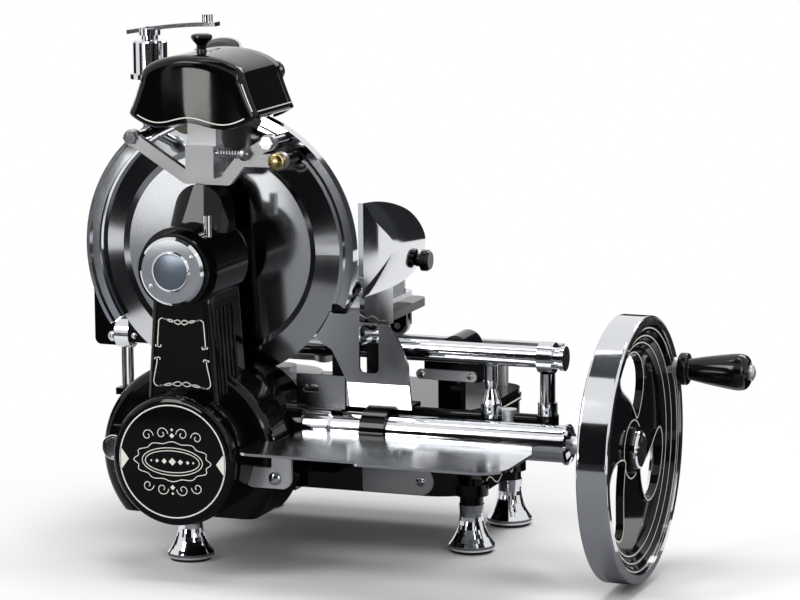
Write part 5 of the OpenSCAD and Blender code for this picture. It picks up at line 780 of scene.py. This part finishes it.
class SLICER_OT_fence_sheet(bpy.types.Operator):
    """Crown the polished outer face of the meat fence"""

    bl_idname = "slicer.fence_sheet"
    bl_label = "Fence sheet"

    # depth and height as shares of the fence's plate
    OUTLINE = ((0, 0.02), (0.35, 0), (0.6, 0.01), (0.79, 0.06), (0.9, 0.15), (0.97, 0.23), (1, 0.34),
               (0.985, 0.43), (0.93, 0.53), (0.85, 0.63), (0.73, 0.74), (0.58, 0.83), (0.4, 0.91),
               (0.2, 0.97), (0, 1))
    # where the crown is highest, in the same shares, and the smallest ring about it
    HUB, SMALLEST = (0.42, 0.45), 0.01
    FOOT_Z, CROWN, CROWN_POWER, EDGE = -55, 7, 0.8, 0.3
    RINGS, LEFT_STEPS = 12, 12

    def execute(self, context):
        low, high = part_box("fence")
        low.z = spot(0, 0, self.FOOT_Z).z
        outline = smooth_profile(self.OUTLINE, 4)
        left = [(0, 1 - (1 - self.OUTLINE[0][1]) * k / self.LEFT_STEPS) for k in range(1, self.LEFT_STEPS)]
        loop = outline + left
        verts, count = [], len(loop)
        for i in range(self.RINGS + 1):
            out = i / self.RINGS
            crown = self.CROWN * math.cos(math.pi / 2 * out) ** self.CROWN_POWER + self.EDGE
            for y, z in loop:
                at_y = self.HUB[0] + (y - self.HUB[0]) * max(out, self.SMALLEST)
                at_z = self.HUB[1] + (z - self.HUB[1]) * max(out, self.SMALLEST)
                verts.append(Vector((high.x + crown * MM, low.y + (high.y - low.y) * at_y,
                                     low.z + (high.z - low.z) * at_z)))
        base = len(verts)
        verts += [Vector((high.x, v.y, v.z)) for v in verts[-count:]]
        faces = [(i * count + k, i * count + (k + 1) % count,
                  (i + 1) * count + (k + 1) % count, (i + 1) * count + k)
                 for i in range(self.RINGS) for k in range(count)]
        faces += [(base - count + k, base - count + (k + 1) % count, base + (k + 1) % count, base + k)
                  for k in range(count)]
        faces.append(tuple(reversed(range(count))))
        faces.append(tuple(range(base, base + count)))
        piece("fence_crowned_face", verts, faces, chrome_plate(), "carriage_group", 40)
        return {"FINISHED"}


class SLICER_OT_screw_slots(bpy.types.Operator):
    """Lay painted shade on the domed screws: dark strips standing on their heads where the shade inside the
    slots falls
    """

    bl_idname = "slicer.screw_slots"
    bl_label = "Screw slots"

    # place in mm from the blade's centre, half length and angle of each slot
    SCREWS = (
        ((104, -98, -245), 6.5, 30), ((213, 86.5, -280), 5, -20),
        ((217, 85, -150), 3, 70), ((276, 85, -150), 3, 10),
    )
    SLOT_W, SLOT_H = 1.1, 0.12

    def execute(self, context):
        strokes = []
        for at, half, angle in self.SCREWS:
            along = RIGHT * math.cos(math.radians(angle)) + UP * math.sin(math.radians(angle))
            points = [spot(*at) + along * (half * MM * t) for t in (-1, -0.5, 0, 0.5, 1)]
            strokes.append((points, FRONT, False))
        # Painted shade: each slot is a thin dark strip in the rubber finish standing on the screw head, in
        # place of a cut groove and the shade inside it.
        lines("screw_slots", strokes, "frame", self.SLOT_W, self.SLOT_H, moulded_rubber())
        return {"FINISHED"}


class SLICER_OT_stage(bpy.types.Operator):
    """Lay the pale floor, hang the soft boxes, and set the photograph's camera"""

    bl_idname = "slicer.stage"
    bl_label = "Stage"

    # Everything on the stage is in metres from the middle of the floor.
    # place, aim, width, height and power in watts of each soft box
    BOXES = (
        ((-1.35, -2.25, 2.15), (-0.1, 0, 0.3), 1.0, 1.2, 36),
        ((2.2, -2.0, 1.7), (0.1, 0, 0.25), 0.5, 1.5, 22),
        ((0.6, 2.2, 2.2), (0, 0, 0.3), 1.6, 0.6, 22),
        ((0.1, -0.1, 2.6), (0, 0, 0), 1.4, 1.4, 30),
    )
    # centre, width, height, colour and glow of the cards that only mirrors see
    CARDS = (
        ((0.15, -4.6, 1.5), 4.2, 3.0, "#1a1a1c", 0),
        ((-3.0, -3.0, 0.6), 1.3, 1.2, "#222224", 0),
        ((3.4, -1.0, 0.5), 1.6, 1.0, "#2a2a2d", 0),
        ((1.5, 1.7, 0.25), 0.9, 0.8, "#1a1a1c", 0),
        ((-2.2, 0.4, 0.3), 1.2, 0.8, "#1a1a1c", 0),
        ((0.0, 2.6, 0.35), 1.7, 0.7, "#2a2a2d", 0),
        ((0.95, 2.75, 0.8), 1.5, 1.6, "#3c3e43", 0),
        ((-2.3, -5.3, 0.3), 1.8, 0.6, "#55565a", 0),
        ((-1.07, -2.5, 0.29), 0.52, 0.16, "#f4f2ee", 14),
    )
    # the same for cards that lie flat, along the line that the blade mirrors
    MATS = (
        ((-1.3, -2.75, 0.004), 2.2, 4.4, "#1c1c1f", 0),
        ((-1.305, -2.61, 0.008), 0.44, 3.3, "#7e8084", 0),
        ((-1.5, -2.96, 0.012), 0.34, 1.13, "#f6f6f6", 1.7),
        ((1.15, -3.0, 0.004), 1.7, 2.6, "#2c2d31", 0),
        ((0.25, -0.62, 0.006), 1.4, 1.4, "#808184", 0),
        ((0.78, 0.9, 0.006), 1.0, 1.5, "#1c1c1f", 0),
        ((2.3, 0.9, 0.004), 1.6, 1.6, "#202023", 0),
        ((0.15, -0.3, 2.2), 1.2, 1.2, "#3a3d43", 0),
    )
    MIRRORED = Vector((-0.398, -0.917, 0))
    ROOM, ROOM_STRENGTH = "#e8e9eb", 0.5
    FLOOR_REACH, FLOOR_TONE, FADE_FROM, FADE_TO = 12, "#f7f7f6", 0.42, 1.0
    # size in mm of the floor's faint clouds
    FLOOR_CLOUD = 2000 / 3

    def lamp(self, at, aim, width, height, power):
        data = bpy.data.lights.new("soft_box", "AREA")
        data.shape = "RECTANGLE"
        data.size, data.size_y, data.energy = width, height, power
        box = bpy.data.objects.new("soft_box", data)
        bpy.context.scene.collection.objects.link(box)
        box.location = at
        box.rotation_euler = (Vector(aim) - Vector(at)).to_track_quat("-Z", "Y").to_euler()

    def card(self, centre, width, height, colour, glow, lying=False):
        at = Vector(centre)
        away = self.MIRRORED if lying else Vector((at.x, at.y, 0)).normalized()
        side, rise = away.cross(UP), away if lying else UP
        corners = [at + side * (sx * width / 2) + rise * (sz * height / 2)
                   for sx, sz in ((-1, -1), (1, -1), (1, 1), (-1, 1))]
        mesh = bpy.data.meshes.new("card")
        mesh.from_pydata([tuple(c) for c in corners], [], [(0, 1, 2, 3)])
        mesh.materials.append(light_card(colour, glow) if glow else card_flock(colour))
        made = bpy.data.objects.new("card", mesh)
        bpy.context.scene.collection.objects.link(made)
        made.visible_camera = made.visible_diffuse = made.visible_shadow = False

    def world(self):
        world = bpy.data.worlds.new("studio")
        bpy.context.scene.world = world
        world.use_nodes = True
        tree = world.node_tree
        tree.nodes.clear()
        rays = add(tree, "ShaderNodeLightPath")
        seen = add(tree, "ShaderNodeMath", {0: rays.outputs["Is Camera Ray"], 1: rays.outputs["Is Glossy Ray"]},
                   operation="MAXIMUM")
        shown = add(tree, "ShaderNodeMath", {0: seen.outputs[0], 1: rays.outputs["Is Transmission Ray"]},
                    operation="MAXIMUM")
        room = add(tree, "ShaderNodeBackground", {
            "Color": linear(self.ROOM), "Strength": self.ROOM_STRENGTH})
        white = add(tree, "ShaderNodeBackground", {"Color": (1, 1, 1, 1), "Strength": 1.0})
        both = add(tree, "ShaderNodeMixShader", {0: shown.outputs[0], 1: room.outputs[0], 2: white.outputs[0]})
        add(tree, "ShaderNodeOutputWorld", {"Surface": both.outputs[0]})

    def floor(self):
        material = bpy.data.materials.new("studio_floor")
        material.use_nodes = True
        tree = material.node_tree
        tree.nodes.clear()
        place = add(tree, "ShaderNodeTexCoord").outputs["Object"]
        cloud = add(tree, "ShaderNodeTexNoise", {"Vector": place, "Scale": 1 / (self.FLOOR_CLOUD * MM)})
        tone = add(tree, "ShaderNodeMix", {"Factor": cloud.outputs["Fac"]}, data_type="RGBA")
        tone.inputs["A"].default_value = linear(colours().floor)
        tone.inputs["B"].default_value = linear(self.FLOOR_TONE)
        paper = add(tree, "ShaderNodeBsdfDiffuse", {"Color": tone.outputs["Result"]})
        white = add(tree, "ShaderNodeEmission", {"Color": (1, 1, 1, 1), "Strength": 1.0})
        away = add(tree, "ShaderNodeVectorMath", {0: place}, operation="LENGTH")
        fade = add(tree, "ShaderNodeMapRange", {
            "Value": away.outputs["Value"], "From Min": self.FADE_FROM, "From Max": self.FADE_TO},
            interpolation_type="SMOOTHSTEP")
        rays = add(tree, "ShaderNodeLightPath")
        seen = add(tree, "ShaderNodeMath", {0: rays.outputs["Is Camera Ray"], 1: rays.outputs["Is Glossy Ray"]},
                   operation="MAXIMUM")
        shown = add(tree, "ShaderNodeMath", {0: seen.outputs[0], 1: fade.outputs["Result"]},
                    operation="MULTIPLY")
        both = add(tree, "ShaderNodeMixShader", {0: shown.outputs[0], 1: paper.outputs[0], 2: white.outputs[0]})
        add(tree, "ShaderNodeOutputMaterial", {"Surface": both.outputs[0]})
        mesh = bpy.data.meshes.new("floor")
        reach = self.FLOOR_REACH
        mesh.from_pydata([(-reach, -reach, 0), (reach, -reach, 0), (reach, reach, 0), (-reach, reach, 0)],
                         [], [(0, 1, 2, 3)])
        mesh.materials.append(material)
        made = bpy.data.objects.new("floor", mesh)
        bpy.context.scene.collection.objects.link(made)

    def camera(self):
        data = bpy.data.cameras.new("camera")
        data.lens, data.sensor_width, data.clip_end = CAMERA_LENS, CAMERA_SENSOR, CAMERA_REACH
        made = bpy.data.objects.new("camera", data)
        bpy.context.scene.collection.objects.link(made)
        a, e = math.radians(CAMERA_TURN), math.radians(CAMERA_DROP)
        back = Vector((math.sin(a) * math.cos(e), -math.cos(a) * math.cos(e), math.sin(e)))
        turn = (-back).to_track_quat("-Z", "Y").to_matrix() @ Matrix.Rotation(math.radians(CAMERA_ROLL), 3, "Z")
        made.matrix_world = Matrix.Translation(spot(*CAMERA_SPOT)) @ turn.to_4x4()
        bpy.context.scene.camera = made

    def execute(self, context):
        self.floor()
        self.world()
        for box in self.BOXES:
            self.lamp(*box)
        for card in self.CARDS:
            self.card(*card)
        for mat in self.MATS:
            self.card(*mat, lying=True)
        self.camera()
        context.scene.view_settings.view_transform = "Standard"
        return {"FINISHED"}


STEPS = (
    SLICER_OT_finishes, SLICER_OT_cover_lines, SLICER_OT_pillar_lines, SLICER_OT_hood_sheet,
    SLICER_OT_hood_lines, SLICER_OT_base_line, SLICER_OT_wheel_lines, SLICER_OT_hub_disc,
    SLICER_OT_grips, SLICER_OT_fence_sheet, SLICER_OT_screw_slots, SLICER_OT_stage,
)


class SLICER_PT_panel(bpy.types.Panel):
    """Lists the steps and the sizes and colours that they use"""

    bl_idname = "SLICER_PT_panel"
    bl_label = "Slicer"
    bl_space_type = "VIEW_3D"
    bl_region_type = "UI"
    bl_category = "Slicer"

    def draw(self, context):
        for group in (context.scene.slicer_sizes, context.scene.slicer_colours):
            for key in group.__annotations__:
                self.layout.prop(group, key)
        for step in STEPS:
            self.layout.operator(step.bl_idname)


CLASSES = (SlicerColours, SlicerSizes) + STEPS + (SLICER_PT_panel,)


def register():
    for cls in CLASSES:
        bpy.utils.register_class(cls)
    bpy.types.Scene.slicer_colours = bpy.props.PointerProperty(type=SlicerColours)
    bpy.types.Scene.slicer_sizes = bpy.props.PointerProperty(type=SlicerSizes)


def unregister():
    del bpy.types.Scene.slicer_sizes
    del bpy.types.Scene.slicer_colours
    for cls in reversed(CLASSES):
        bpy.utils.unregister_class(cls)


def main():
    register()
    for step in STEPS:
        group, action = step.bl_idname.split(".")
        getattr(getattr(bpy.ops, group), action)()


if __name__ == "__main__":
    main()
